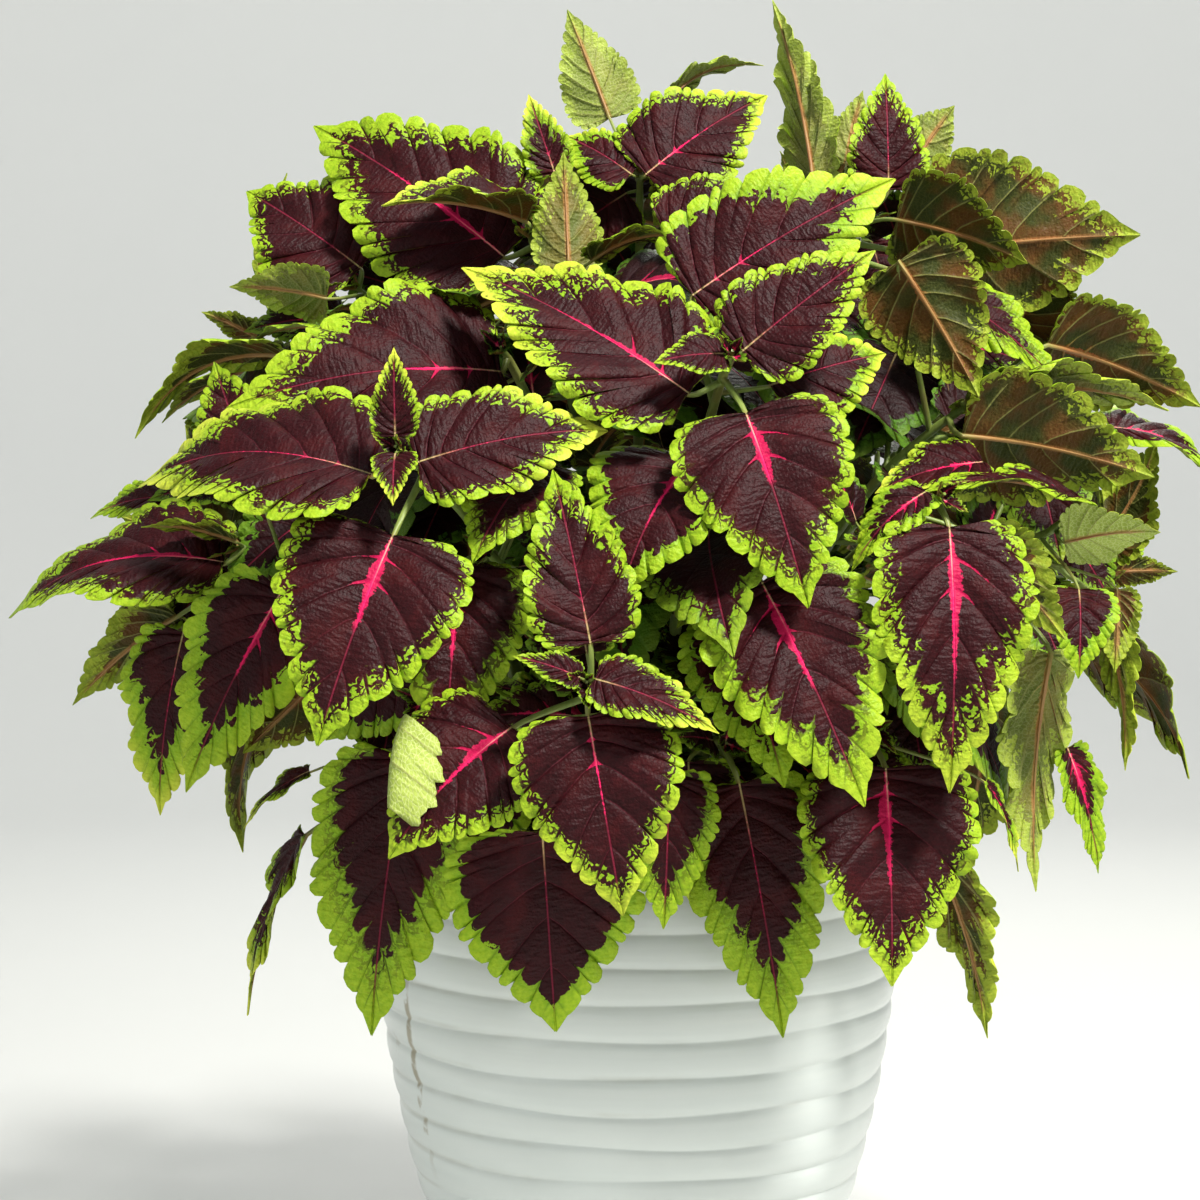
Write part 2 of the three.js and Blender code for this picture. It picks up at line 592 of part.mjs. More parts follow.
function placedLeaves(stem) {
  return PLACED_LEAVES.filter(([name]) => name === stem.name).map(
    ([, base, tip, wide, arch, [right, near, up], fold = FOLD]) => ({
      base: seen(base),
      tip: seen(tip),
      facing: new THREE.Vector3(right, -near, up).normalize(),
      wide,
      arch,
      fold,
    }),
  );
}

// ---- Keeping every leaf clear of the others ----

function bendCost({ pitch, roll, yaw, scale }) {
  const turns =
    Math.abs(pitch) / BEND_UNIT.pitch + Math.abs(roll) / BEND_UNIT.roll + Math.abs(yaw) / BEND_UNIT.yaw;
  return turns + SHRINK.indexOf(scale) * SHRINK_COST;
}

function bendsLeastFirst() {
  const bends = [];
  for (const scale of SHRINK) {
    for (const pitch of BEND.pitch) {
      for (const roll of BEND.roll) {
        for (const yaw of BEND.yaw) {
          const bend = { pitch, roll, yaw, scale };
          bends.push({ ...bend, cost: bendCost(bend) });
        }
      }
    }
  }
  return bends.sort((one, other) => one.cost - other.cost);
}

const BENDS = bendsLeastFirst();

function boxesMeet(one, other) {
  return [0, 1, 2].every((k) => one.min[k] <= other.max[k] && other.min[k] <= one.max[k]);
}

function isClear(solid, obstacles, stem) {
  const box = solid.boundingBox();
  return obstacles.every(
    (other) =>
      (stem && other.stem === stem) ||
      !boxesMeet(box, other.box) ||
      solid.intersect(other.solid).isEmpty(),
  );
}

function obstacle(solid, stem) {
  return { solid, stem, box: solid.boundingBox() };
}

// Grows one leaf on its stem with the least bend that keeps it clear, or leaves it out.
function growLeaf(leaf, stem, obstacles, blades) {
  for (const bend of BENDS) {
    const bent = bentLeaf(leaf, bend);
    const room = leafSolid(bent, BLADE.halfThickness + BLADE.clearance, null);
    if (!isClear(room, obstacles, null) || !isClear(room, blades, null)) continue;
    for (const shift of SHIFTS) {
      const way = petioleSolid(layPetiole(bent, stem, shift, BLADE.clearance));
      if (!isClear(way, obstacles, stem) || !isClear(way, blades, null)) continue;
      const petiole = layPetiole(bent, stem, shift, 0);
      return {
        whole: leafSolid(bent, BLADE.halfThickness, petiole),
        blade: leafSolid(bent, BLADE.halfThickness, null),
        petiole: petioleSolid(petiole),
      };
    }
  }
  return null;
}

function growPlant(stems, pot, soil) {
  const bodies = new Map(stems.map((stem) => [stem, [stemSolid(stem)]]));
  const obstacles = [obstacle(pot, null), obstacle(soil, null)];
  bodies.forEach(([bare], stem) => obstacles.push(obstacle(bare, stem)));
  const blades = [];
  const grow = (stem, leaves) => {
    for (const leaf of leaves) {
      const grown = growLeaf(leaf, stem, obstacles, blades);
      if (!grown) continue;
      bodies.get(stem).push(grown.whole);
      blades.push(obstacle(grown.blade, stem));
      obstacles.push(obstacle(grown.petiole, stem));
    }
  };
  stems.forEach((stem) => grow(stem, placedLeaves(stem)));
  stems.forEach((stem) => grow(stem, ruledLeaves(stem)));
  return bodies;
}

// ---- The assembly ----

// A shoot's pieces in one. A hollow that joining them seals is filled, a loose scrap dropped.
function fused(solids) {
  const shells = wasm.Manifold.union(solids).decompose();
  return shells.reduce((most, shell) => (shell.volume() > most.volume() ? shell : most));
}

const stems = STEMS.map(layStem);
const pot = buildPot();
const soil = buildSoil(stems);
const plant = new THREE.Group();
plant.add(namedMesh('pot', pot, COLOURS.pot, 0.25));
plant.add(namedMesh('soil', soil, COLOURS.soil, 0.95));
growPlant(stems, pot, soil).forEach((solids, stem) => {
  plant.add(namedMesh(`shoot_${stem.name}`, fused(solids), COLOURS.leaf, 0.6));
});

export default plant;
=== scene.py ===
"""A potted coleus: the looks of its blades, stems, soil and glazed pot.

Lengths are millimetres, as in the part's source, and become metres when a mesh is made. The
leaves' places, bends and forms are those of the solids: for each leaf the bend that its solid
took is found by comparing the solid's corners with those of every bend it could take.
"""
import itertools
import math
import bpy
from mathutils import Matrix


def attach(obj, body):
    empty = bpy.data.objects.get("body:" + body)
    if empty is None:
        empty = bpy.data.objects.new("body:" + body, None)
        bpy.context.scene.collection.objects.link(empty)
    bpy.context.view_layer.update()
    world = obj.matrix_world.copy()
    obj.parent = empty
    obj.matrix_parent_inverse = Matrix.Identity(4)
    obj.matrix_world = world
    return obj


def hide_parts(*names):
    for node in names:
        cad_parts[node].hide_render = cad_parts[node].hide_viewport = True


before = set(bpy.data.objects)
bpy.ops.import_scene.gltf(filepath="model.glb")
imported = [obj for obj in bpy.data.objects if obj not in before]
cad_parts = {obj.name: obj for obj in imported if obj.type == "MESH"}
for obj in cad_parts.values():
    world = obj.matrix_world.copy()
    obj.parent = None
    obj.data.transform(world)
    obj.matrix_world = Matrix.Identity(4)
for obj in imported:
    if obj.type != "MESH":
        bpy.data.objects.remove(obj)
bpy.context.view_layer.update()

from types import SimpleNamespace

import bpy
import numpy as np
from mathutils import Vector, bvhtree, kdtree

# ---- Dimensions, as in the part's source ----

MM = 0.001
POT = {
    "height": 500, "base_radius": 112, "belly_radius": 192, "belly_height": 380, "belly_power": 1.2,
    "rim_inset": 4, "wall": 10, "rib_pitch": 25, "rib_depth": 2.6, "foot_bevel": 3,
}
DRAIN = {"count": 4, "radius": 8, "circle": 62}
SOIL = {"gap": 0.3, "edge_height": 464, "crown_height": 474}
STEM = {
    "foot_width": 9, "tip_width": 4.4, "foot_depth": 55, "rings": 5,
    "bend_out": 0.2, "bend_up": 0.72, "least_rise": 62,
}
PETIOLE = {
    "root_radius": 2.4, "tip_radius": 1.7, "drop": 0.35, "shift": 22, "least": 0.06, "most": 0.985,
}
EYE_DISTANCE = 1841  # the photo's camera, from the pot's axis
EYE_HEIGHT = 691
FOLD = 9  # degrees that each half of a blade rises from the midrib
DROOP = 0.3  # how much a side leaf hangs, as a share of its direction
SEED = 7
BENDS = {  # what a solid's leaf may do to stay clear: degrees, and shares of its length
    "pitch": (0, 6, -6, 12, -12, 18, -18, 26, -26),
    "roll": (0, 14, -14, 28, -28),
    "yaw": (0, 9, -9),
    "scale": (1, 0.86, 0.72),
}
BEND_UNIT = {"pitch": 6, "roll": 12, "yaw": 6}  # degrees that cost as much as each other
SHRINK_COST = 5
SHIFTS = (0, 1, -1, 2, -2)  # other places on the stem for a petiole's root
ROOT_STEPS = 40
CURVE_STEPS = 200
CREST = {"place": 3 / 8, "swell": 0.07}  # a corner of the solid's outline
CORNER_TOLERANCE = 0.06
ROOT_CORNER_SHARE = 0.15  # the least share of a petiole's edge at which its root's corner lies

# ---- The layout, as in the part's source ----

# Leafy stems: name, foot's distance from the axis, growing tip as seen, first pair by rule.
STEMS = [
    ("a", 118, (-178, 727, 338), 4),
    ("b", 140, (-37, 553, 384), 5),
    ("c", 98, (70, 797, 300), 3),
    ("d", 62, (-100, 800, 212), 3),
    ("e", 138, (-112, 652, 290), 4),
    ("f", 128, (-296, 655, 112), 4),
    ("g", 135, (314, 668, 200), 4),
    ("h", 122, (226, 692, 305), 3),
    ("i", 92, (245, 758, 168), 3),
    ("j", 92, (-208, 846, 128), 2),
    ("k", 140, (84, 652, 300), 5),
    ("m", 150, (-160, 540, 240), 5),
    ("n", 152, (-72, 492, 246), 5),
    ("q", 152, (66, 508, 226), 5),
    ("r", 150, (176, 520, 256), 5),
    ("t", 44, (-80, 884, 150), 2),
    ("u", 18, (2, 930, 66), 2),
    ("v", 52, (166, 896, 98), 2),
    ("back1", 84, (-276, 800, -90), 0),
    ("back2", 60, (-118, 880, -170), 0),
    ("back3", 62, (120, 890, -150), 0),
    ("back4", 92, (285, 800, -80), 0),
    ("back5", 140, (-330, 650, -150), 0),
    ("back6", 120, (-190, 705, -290), 0),
    ("back7", 100, (0, 770, -320), 0),
    ("back8", 122, (200, 700, -290), 0),
    ("back9", 142, (345, 630, -120), 0),
    ("back10", 138, (-80, 590, -360), 0),
    ("back11", 126, (100, 570, -370), 0),
]

# Placed leaves: stem, base, tip, width and arch over length, facing and, for a few, the fold.
PLACED_LEAVES = [
    ("a", (-178, 734, 340), (-179, 800, 346), 0.54, 0.02, (0, 9, 3)),
    ("a", (-178, 722, 344), (-180, 684, 376), 0.62, 0.1, (0, 7, 7)),
    ("a", (-196, 708, 330), (-371, 701, 262), 0.68, 0.12, (-1, 6, 8)),
    ("a", (-162, 716, 330), (-20, 741, 300), 0.68, 0.06, (0, 8, 6)),
    ("a", (-180, 662, 345), (-238, 505, 388), 0.86, 0.07, (0, 9, 4)),
    ("b", (-42, 557, 386), (-92, 573, 386), 0.52, 0.05, (0, 8, 6)),
    ("b", (-31, 556, 388), (62, 516, 394), 0.52, 0.08, (0, 8, 6)),
    ("b", (-36, 528, 384), (-10, 378, 404), 0.84, 0.05, (0, 9, 3)),
    ("b", (-34, 582, 372), (-62, 712, 338), 0.6, 0.05, (1, 9, 2)),
    ("b", (-93, 520, 346), (-186, 422, 370), 0.92, 0.1, (-1, 8, 6)),
    ("c", (64, 795, 300), (12, 789, 314), 0.75, 0.05, (0, 8, 6)),
    ("c", (77, 797, 300), (175, 872, 286), 0.7, 0.03, (1, 8, 5)),
    ("c", (80, 752, 306), (127, 608, 350), 0.84, 0.07, (0, 9, 4)),
    ("c", (38, 767, 284), (-130, 862, 236), 0.64, 0.05, (-1, 7, 6)),
    ("c", (40, 716, 286), (-17, 633, 352), 0.98, 0.14, (-1, 7, 7)),
    ("c", (40, 838, 236), (190, 925, 208), 0.68, 0.05, (1, 8, 5)),
    ("c", (98, 772, 262), (184, 796, 226), 0.9, 0.04, (1, 8, 4)),
    ("d", (-100, 783, 214), (-304, 758, 258), 0.74, 0.09, (-1, 8, 5)),
    ("e", (-130, 640, 298), (-143, 503, 340), 0.76, 0.05, (0, 9, 3)),
    ("e", (-72, 715, 286), (-122, 642, 338), 0.82, 0.1, (-1, 8, 5)),
    ("k", (92, 628, 312), (170, 461, 360), 0.72, 0.05, (1, 9, 4)),
    ("k", (70, 600, 300), (110, 475, 340), 0.72, 0.05, (1, 9, 3)),
    ("m", (-172, 498, 236), (-199, 286, 226), 0.56, 0.05, (-1, 9, 3)),
    ("m", (-243, 487, 180), (-293, 445, 176), 0.5, 0.08, (0, 3, 9)),
    ("m", (-248, 440, 156), (-294, 304, 150), 0.4, 0.04, (-9, 3, 3)),
    ("m", (-222, 566, 176), (-292, 500, 172), 0.8, 0.05, (0, -9, 2)),
    ("m", (-160, 575, 204), (-222, 498, 196), 0.84, 0.05, (-1, 9, 3)),
    ("m", (-122, 500, 232), (-148, 372, 214), 0.78, 0.04, (0, 9, 2)),
    ("n", (-70, 442, 272), (-60, 290, 262), 0.96, 0.03, (0, 9, 2)),
    ("n", (24, 486, 300), (20, 368, 300), 0.62, 0.05, (1, 9, 3)),
    ("q", (38, 494, 222), (42, 384, 208), 0.7, 0.04, (0, 9, 2)),
    ("q", (76, 478, 240), (110, 286, 240), 0.56, 0.04, (1, 9, 2)),
    ("r", (184, 490, 290), (190, 326, 324), 0.84, 0.04, (1, 9, 3)),
    ("r", (258, 480, 226), (284, 413, 228), 0.45, 0.05, (9, 3, 2)),
    ("r", (216, 440, 216), (263, 290, 196), 0.36, 0.05, (6, -6, 3)),
    ("h", (230, 668, 316), (232, 470, 346), 0.6, 0.07, (1, 9, 3)),
    ("h", (250, 660, 278), (316, 585, 268), 0.62, 0.06, (0, -8, 5)),
    ("h", (212, 694, 300), (154, 640, 316), 0.55, 0.12, (-2, 7, 7)),
    ("g", (326, 688, 226), (204, 694, 262), 0.5, 0.1, (0, 3, 9)),
    ("g", (314, 657, 214), (400, 695, 204), 0.95, 0.05, (0, -9, 3)),
    ("g", (325, 622, 224), (325, 556, 252), 0.8, 0.14, (0, 7, 7)),
    ("g", (353, 622, 204), (352, 560, 204), 0.56, 0.06, (3, -8, 2)),
    ("g", (342, 612, 186), (363, 488, 180), 0.34, 0.05, (8, -4, 2)),
    ("g", (302, 575, 204), (291, 398, 196), 0.38, 0.04, (-5, -7, 2)),
    ("g", (318, 505, 176), (343, 411, 170), 0.42, 0.04, (5, 7, 2)),
    ("i", (240, 762, 180), (390, 757, 150), 0.52, 0.08, (0, -5, 8)),
    ("i", (238, 736, 194), (380, 706, 180), 0.76, 0.06, (0, -8, 5)),
    ("i", (300, 802, 112), (413, 757, 84), 0.74, 0.08, (0, -8, 5)),
    ("i", (346, 742, 86), (442, 688, 60), 0.62, 0.12, (3, 6, 8)),
    ("i", (192, 862, 196), (252, 762, 214), 0.8, 0.06, (1, -8, 4)),
    ("i", (254, 716, 212), (174, 694, 224), 0.76, 0.06, (0, 5, 8)),
    ("f", (-306, 643, 122), (-468, 603, 80), 0.64, 0.14, (-2, 6, 8)),
    ("f", (-296, 658, 126), (-387, 678, 112), 0.56, 0.05, (0, -7, 7)),
    ("f", (-340, 690, 62), (-405, 675, 40), 0.6, 0.08, (0, 6, 8)),
    ("f", (-340, 603, 84), (-419, 537, 60), 0.5, 0.06, (0, -6, 8)),
    ("f", (-262, 622, 186), (-337, 470, 190), 0.62, 0.05, (-2, 9, 3)),
    ("f", (-336, 590, 124), (-356, 452, 112), 0.56, 0.05, (-3, 8, 2)),
    ("f", (-283, 705, 196), (-312, 790, 192), 0.84, 0.03, (-1, 9, 2)),
    ("j", (-203, 858, 130), (-288, 916, 92), 0.95, 0.04, (-1, 8, 5)),
    ("j", (-228, 836, 160), (-300, 845, 162), 0.72, 0.05, (0, -8, 6)),
    ("j", (-230, 815, 152), (-288, 822, 142), 0.7, 0.06, (0, 6, 8)),
    ("j", (-258, 795, 128), (-372, 735, 112), 0.56, 0.18, (-1, -7, 7)),
    ("t", (-98, 867, 150), (-239, 965, 92), 0.72, 0.05, (-1, 8, 5)),
    ("t", (-80, 893, 160), (-188, 906, 190), 0.74, 0.06, (0, 2, 9), 34),
    ("t", (-60, 926, 132), (-80, 985, 120), 0.55, 0.04, (-1, 8, 3)),
    ("t", (-50, 856, 168), (-68, 940, 150), 0.58, 0.04, (-1, -9, 2)),
    ("t", (-34, 864, 182), (52, 876, 214), 0.5, 0.13, (0, 4, 9)),
    ("u", (6, 926, 92), (96, 985, 52), 0.78, 0.05, (0, 8, 5)),
    ("u", (-4, 926, 90), (-54, 955, 64), 0.84, 0.05, (0, 8, 5)),
    ("u", (-20, 966, 34), (-51, 1045, 24), 0.64, 0.04, (0, -9, 2)),
    ("u", (22, 980, 32), (92, 1006, 20), 0.42, 0.14, (0, -3, 8)),
    ("u", (20, 884, 128), (105, 914, 112), 0.74, 0.04, (0, 8, 4)),
    ("u", (46, 938, 60), (10, 886, 66), 0.9, 0.06, (0, -9, 2)),
    ("u", (-8, 912, 60), (-64, 872, 56), 0.95, 0.06, (0, 9, 2)),
    ("u", (12, 880, 44), (64, 838, 40), 0.95, 0.06, (0, 9, 2)),
    ("v", (131, 918, 74), (101, 1052, 52), 0.34, 0.03, (6, -7, 1)),
    ("v", (152, 932, 60), (164, 986, 50), 0.6, 0.03, (-2, -9, 1)),
    ("v", (184, 914, 112), (181, 1000, 92), 0.64, 0.04, (0, 9, 1)),
    ("v", (200, 930, 70), (231, 975, 60), 0.9, 0.05, (0, -9, 3)),
    ("v", (208, 868, 62), (367, 882, 32), 0.84, 0.06, (0, -9, 3)),
    ("v", (190, 893, 130), (287, 861, 158), 0.86, 0.08, (0, -8, 5)),
    ("v", (216, 846, 112), (330, 798, 132), 0.52, 0.06, (0, 6, 7)),
    ("v", (172, 876, 50), (192, 800, 60), 0.8, 0.05, (0, 9, 3)),
]

# Pairs that grow by rule: along, length, lean, petiole, width and arch over length.
PAIRS = [
    (0.99, 52, 34, 8, 0.56, 0.03),
    (0.95, 102, 62, 26, 0.7, 0.07),
    (0.84, 150, 84, 44, 0.76, 0.1),
    (0.66, 158, 98, 50, 0.76, 0.12),
]

# Inner leaves, which only this file has: they close the gaps between the placed ones.
INNER_LEAVES = [
    ("g", (290, 725, 110), (312, 640, 160), 0.8, 0.05, (0, 9, 3)),
    ("g", (285, 625, 110), (318, 555, 140), 0.8, 0.05, (1, 9, 3)),
    ("g", (310, 672, 120), (352, 608, 140), 0.7, 0.05, (1, 9, 3)),
    ("j", (-160, 838, 60), (-235, 860, 80), 0.7, 0.05, (0, 9, 4)),
    ("j", (-215, 822, 70), (-290, 812, 90), 0.7, 0.06, (0, 8, 5)),
    ("v", (196, 862, 20), (172, 925, 40), 0.8, 0.05, (0, 9, 2)),
    ("u", (6, 835, 30), (-28, 893, 60), 0.8, 0.05, (0, 9, 2)),
    ("i", (190, 795, 80), (155, 715, 130), 0.9, 0.05, (1, 9, 3)),
    ("i", (225, 802, 60), (298, 785, 90), 0.7, 0.06, (0, 8, 5)),
    ("r", (200, 548, 150), (212, 478, 170), 0.8, 0.05, (0, 9, 3)),
    ("m", (-178, 545, 140), (-192, 475, 170), 0.8, 0.05, (0, 9, 3)),
    ("f", (-235, 680, 90), (-305, 622, 120), 0.8, 0.06, (-1, 8, 4)),
    ("f", (-285, 702, 50), (-362, 688, 70), 0.7, 0.06, (0, 7, 6)),
    ("f", (-305, 640, 50), (-348, 588, 80), 0.8, 0.05, (-1, 8, 3)),
    ("e", (-135, 705, 150), (-168, 630, 200), 0.85, 0.06, (0, 8, 4)),
]

# ---- Small helpers ----

UP = np.array([0.0, 0.0, 1.0])
EYE = np.array([0.0, -EYE_DISTANCE, EYE_HEIGHT])


def unit(vector):
    return vector / np.linalg.norm(vector)


def turned(vector, axis, degrees):
    angle = math.radians(degrees)
    along = axis * np.dot(axis, vector) * (1 - math.cos(angle))
    return vector * math.cos(angle) + np.cross(axis, vector) * math.sin(angle) + along


def chance(*keys):
    """A number from 0 to 1 that only its keys decide, the same one as in the part's source."""
    total = SEED + sum(key * (12.9898 + 65.233 * place) for place, key in enumerate(keys))
    wave = math.sin(total) * 43758.5453
    return wave - math.floor(wave)


def clamp(value, least, most):
    return max(least, min(most, value))


def seen(point):
    """The place of a point that the photo shows so far across and up, so near to its camera."""
    across, up, near = point
    share = (EYE_DISTANCE - near) / EYE_DISTANCE
    return np.array([across * share, -near, EYE_HEIGHT + (up - EYE_HEIGHT) * share])


def mesh_object(name, points, faces, materials=(), picks=None, vectors=None, smooth=60):
    """An object from points in millimetres, with smooth faces and named vectors on its points."""
    mesh = bpy.data.meshes.new(name)
    mesh.from_pydata([tuple(p) for p in (np.asarray(points) * MM)], [], [tuple(f) for f in faces])
    for material in materials:
        mesh.materials.append(material)
    if picks is not None:
        mesh.polygons.foreach_set("material_index", np.asarray(picks, dtype=np.int32))
    for label, values in (vectors or {}).items():
        layer = mesh.attributes.new(label, "FLOAT_VECTOR", "POINT")
        layer.data.foreach_set("vector", np.asarray(values, dtype=np.float32).ravel())
    mesh.polygons.foreach_set("use_smooth", np.ones(len(mesh.polygons), dtype=bool))
    mesh.update()
    mesh.set_sharp_from_angle(angle=math.radians(smooth))
    item = bpy.data.objects.new(name, mesh)
    bpy.context.scene.collection.objects.link(item)
    return item


def grid_faces(rows, columns, closed=False, start=0, flip=False):
    """Quads between the points of a grid, stored row by row."""
    faces = []
    for row in range(rows - 1):
        for column in range(columns if closed else columns - 1):
            after = (column + 1) % columns
            near, far = start + row * columns, start + (row + 1) * columns
            face = (near + column, near + after, far + after, far + column)
            faces.append(face[::-1] if flip else face)
    return faces


def ring_faces(rings, sides, flip=False):
    """The faces of a closed solid whose points are rings: its skin and its two ends."""
    ends = [tuple(range(sides - 1, -1, -1)), tuple(range((rings - 1) * sides, rings * sides))]
    return grid_faces(rings, sides, closed=True, flip=flip) + [e[::-1] if flip else e for e in ends]


def around(count, start=0.0):
    """Angles all round, in even steps."""
    return 2 * np.pi * (np.arange(count) + start) / count


def ring(radius, z, angles):
    level = np.broadcast_to(z, angles.shape)
    return np.stack([radius * np.cos(angles), radius * np.sin(angles), level], -1)


def merged(parts):
    """Point and face lists of several pieces as one."""
    points, faces, start = [], [], 0
    for some_points, some_faces in parts:
        points.append(some_points)
        faces += [tuple(start + corner for corner in face) for face in some_faces]
        start += len(some_points)
    return np.concatenate(points), faces


# ---- Stems ----


class Stem:
    """A leafy stem: upright in its hole, then leaning outwards to its growing tip."""

    def __init__(self, index, name, foot_radius, apex, first_pair):
        self.index, self.name, self.first_pair = index, name, first_pair
        tip = seen(apex)
        self.outward = unit(np.array([tip[0], tip[1], 0.0]))
        top = self.outward * foot_radius
        top[2] = SOIL["crown_height"]
        bend = top + (tip - top) * STEM["bend_out"]
        bend[2] = top[2] + max(STEM["least_rise"], (tip[2] - top[2]) * STEM["bend_up"])
        self.top, self.bend, self.tip = top, bend, tip
        points = [self.curve(step / CURVE_STEPS) for step in range(CURVE_STEPS + 1)]
        self.length = sum(np.linalg.norm(b - a) for a, b in zip(points, points[1:]))

    def curve(self, t):
        return (1 - t) ** 2 * self.top + 2 * t * (1 - t) * self.bend + t * t * self.tip

    def tangent(self, t):
        return unit((1 - t) * (self.bend - self.top) + t * (self.tip - self.bend))

    def chord(self, t):
        """A point of the solid's middle line, which is straight from ring to ring."""
        spans = STEM["rings"] - 1
        span = min(math.floor(t * spans), spans - 1)
        low, high = self.curve(span / spans), self.curve((span + 1) / spans)
        return low + (high - low) * (t * spans - span)

    def width(self, t):
        return STEM["foot_width"] + (STEM["tip_width"] - STEM["foot_width"]) * t


# ---- Leaves: where they are ----


class Leaf:
    """One blade and its petiole, in the places that the solids give them."""

    def __init__(self, base, tip, facing, wide, arch, fold, keys, placed=False):
        self.base, self.tip, self.facing = base, tip, facing
        self.wide, self.arch, self.fold, self.keys, self.placed = wide, arch, fold, keys, placed

    def length(self):
        return np.linalg.norm(self.tip - self.base)

    def frame(self):
        """The blade's own directions: along its midrib, off its upper face and to its side."""
        along = unit(self.tip - self.base)
        face = unit(self.facing - along * np.dot(self.facing, along))
        return along, face, np.cross(face, along)

    def bent(self, pitch, roll, yaw, scale):
        along, face, side = self.frame()
        direction = turned(turned(along, side, pitch), face, yaw)
        facing = turned(turned(turned(face, side, pitch), face, yaw), direction, roll)
        tip = self.base + direction * (self.length() * scale)
        return Leaf(self.base, tip, facing, self.wide, self.arch, self.fold, self.keys, self.placed)

    def at(self, a, x, lift=0.0):
        """Points of the blade: a along the midrib and x out from it, as shares of its length."""
        along, face, side = self.frame()
        a, x, lift = (np.asarray(value, dtype=float)[..., None] for value in (a, x, lift))
        fold = math.radians(self.fold)
        rise = 4 * self.arch * a * (1 - a) + np.abs(x) * math.sin(fold) + lift
        return self.base + self.length() * (along * a + side * x * math.cos(fold) + face * rise)


def outline(t, wide, swell=0.0, taper=0.92):
    """Half of a blade's outline, base to tip, as shares of its length; solids have this taper."""
    along = t ** 1.5
    heart = 0.055 * np.sin(np.pi * np.minimum(1, t / 0.4))
    belly = 0.38 / (0.38 + taper)
    ovate = (along / belly) ** 0.38 * ((1 - along) / (1 - belly)) ** taper
    return along - heart, 0.5 * ovate * (1 + swell) * wide


def ruled_leaves(stem):
    """Leaves that grow by rule, in crossed pairs down the stem."""
    for order, (along, length, lean, petiole, wide, arch) in enumerate(PAIRS):
        if order < stem.first_pair:
            continue
        at, axis = stem.curve(along), stem.tangent(along)
        across = unit(np.cross(axis, stem.outward))
        turn = 90 * order + 50 * chance(stem.index, 1)
        for half in (0, 1):
            luck = chance(stem.index, order, half)
            radial = turned(across, axis, turn + 180 * half + 16 * (luck - 0.5))
            angle = math.radians(lean + 14 * (luck - 0.5))
            direction = axis * math.cos(angle) + radial * math.sin(angle)
            direction[2] -= DROOP * math.sin(angle) * (1 if order > 1 else 0.2)
            direction = unit(direction)
            base = at + direction * petiole
            base[2] += 6
            size = length * (0.88 + 0.24 * chance(stem.index, order, half + 2))
            facing = unit(axis + UP * 0.3)
            keys = (stem.index, order, half)
            yield Leaf(base, base + direction * size, facing, wide, arch, FOLD, keys)


def placed_leaves(stem, rows):
    """A stem's leaves from a table of the layout."""
    mine = [row for row in rows if row[0] == stem.name]
    for order, (_, base, tip, wide, arch, (right, near, up), *fold) in enumerate(mine):
        normal = unit(np.array([right, -near, up], dtype=float))
        keys = (stem.index, order, 7)
        yield Leaf(seen(base), seen(tip), normal, wide, arch, fold[0] if fold else FOLD, keys, True)


def bends_least_first():
    bends = []
    for place, scale in enumerate(BENDS["scale"]):
        for turns in itertools.product(BENDS["pitch"], BENDS["roll"], BENDS["yaw"]):
            cost = sum(abs(turn) / size for turn, size in zip(turns, BEND_UNIT.values()))
            bends.append((cost + SHRINK_COST * place, (*turns, scale)))
    return [bend for _, bend in sorted(bends, key=lambda pair: pair[0])]


BENDS_LEAST_FIRST = bends_least_first()


def as_grown(leaf, corners):
    """The leaf as its solid has it, found by the solid's corners, or None if it was left out."""
    a, x = outline(CREST["place"], leaf.wide, CREST["swell"])
    for bend in BENDS_LEAST_FIRST:
        bent = leaf.bent(*bend)
        tests = (bent.tip, bent.at(a, x), bent.at(a, -x))
        if all(corners.find(tuple(point))[2] < CORNER_TOLERANCE for point in tests):
            return bent
    return None


def petiole_root(leaf, stem, shift):
    """Where on the stem a leaf's petiole is rooted: below the nearest place, so that it rises."""
    steps = [step / ROOT_STEPS for step in range(ROOT_STEPS + 1)]
    reaches = [np.linalg.norm(stem.chord(step) - leaf.base) for step in steps]
    nearest = steps[int(np.argmin(reaches))]
    lower = (min(reaches) * PETIOLE["drop"] + shift * PETIOLE["shift"]) / stem.length
    return clamp(nearest - lower, PETIOLE["least"], PETIOLE["most"])


def root_as_grown(leaf, stem, points):
    """Where the solid's petiole is rooted: a corner of the solid lies on its edge."""
    _, face, side = leaf.frame()
    found = []
    for shift in SHIFTS:
        t = petiole_root(leaf, stem, shift)
        root = stem.chord(t)
        way = unit(root - leaf.base)
        left = side if np.dot(way, face) <= 0 else -side
        flat = unit(left - way * np.dot(way, left))
        near = leaf.base + left * PETIOLE["tip_radius"]
        far = root + flat * PETIOLE["root_radius"]
        edge = far - near
        share = (points - near) @ edge / np.dot(edge, edge)
        gaps = np.linalg.norm(points - near - np.outer(share, edge), axis=1)
        gaps[(share < ROOT_CORNER_SHARE) | (share > 1)] = np.inf
        found.append((gaps.min(), t))
    gap, t = min(found)
    return t if gap < CORNER_TOLERANCE else petiole_root(leaf, stem, 0)

# ---- Leaves: their blades. Sizes without a unit are shares of the blade's length ----

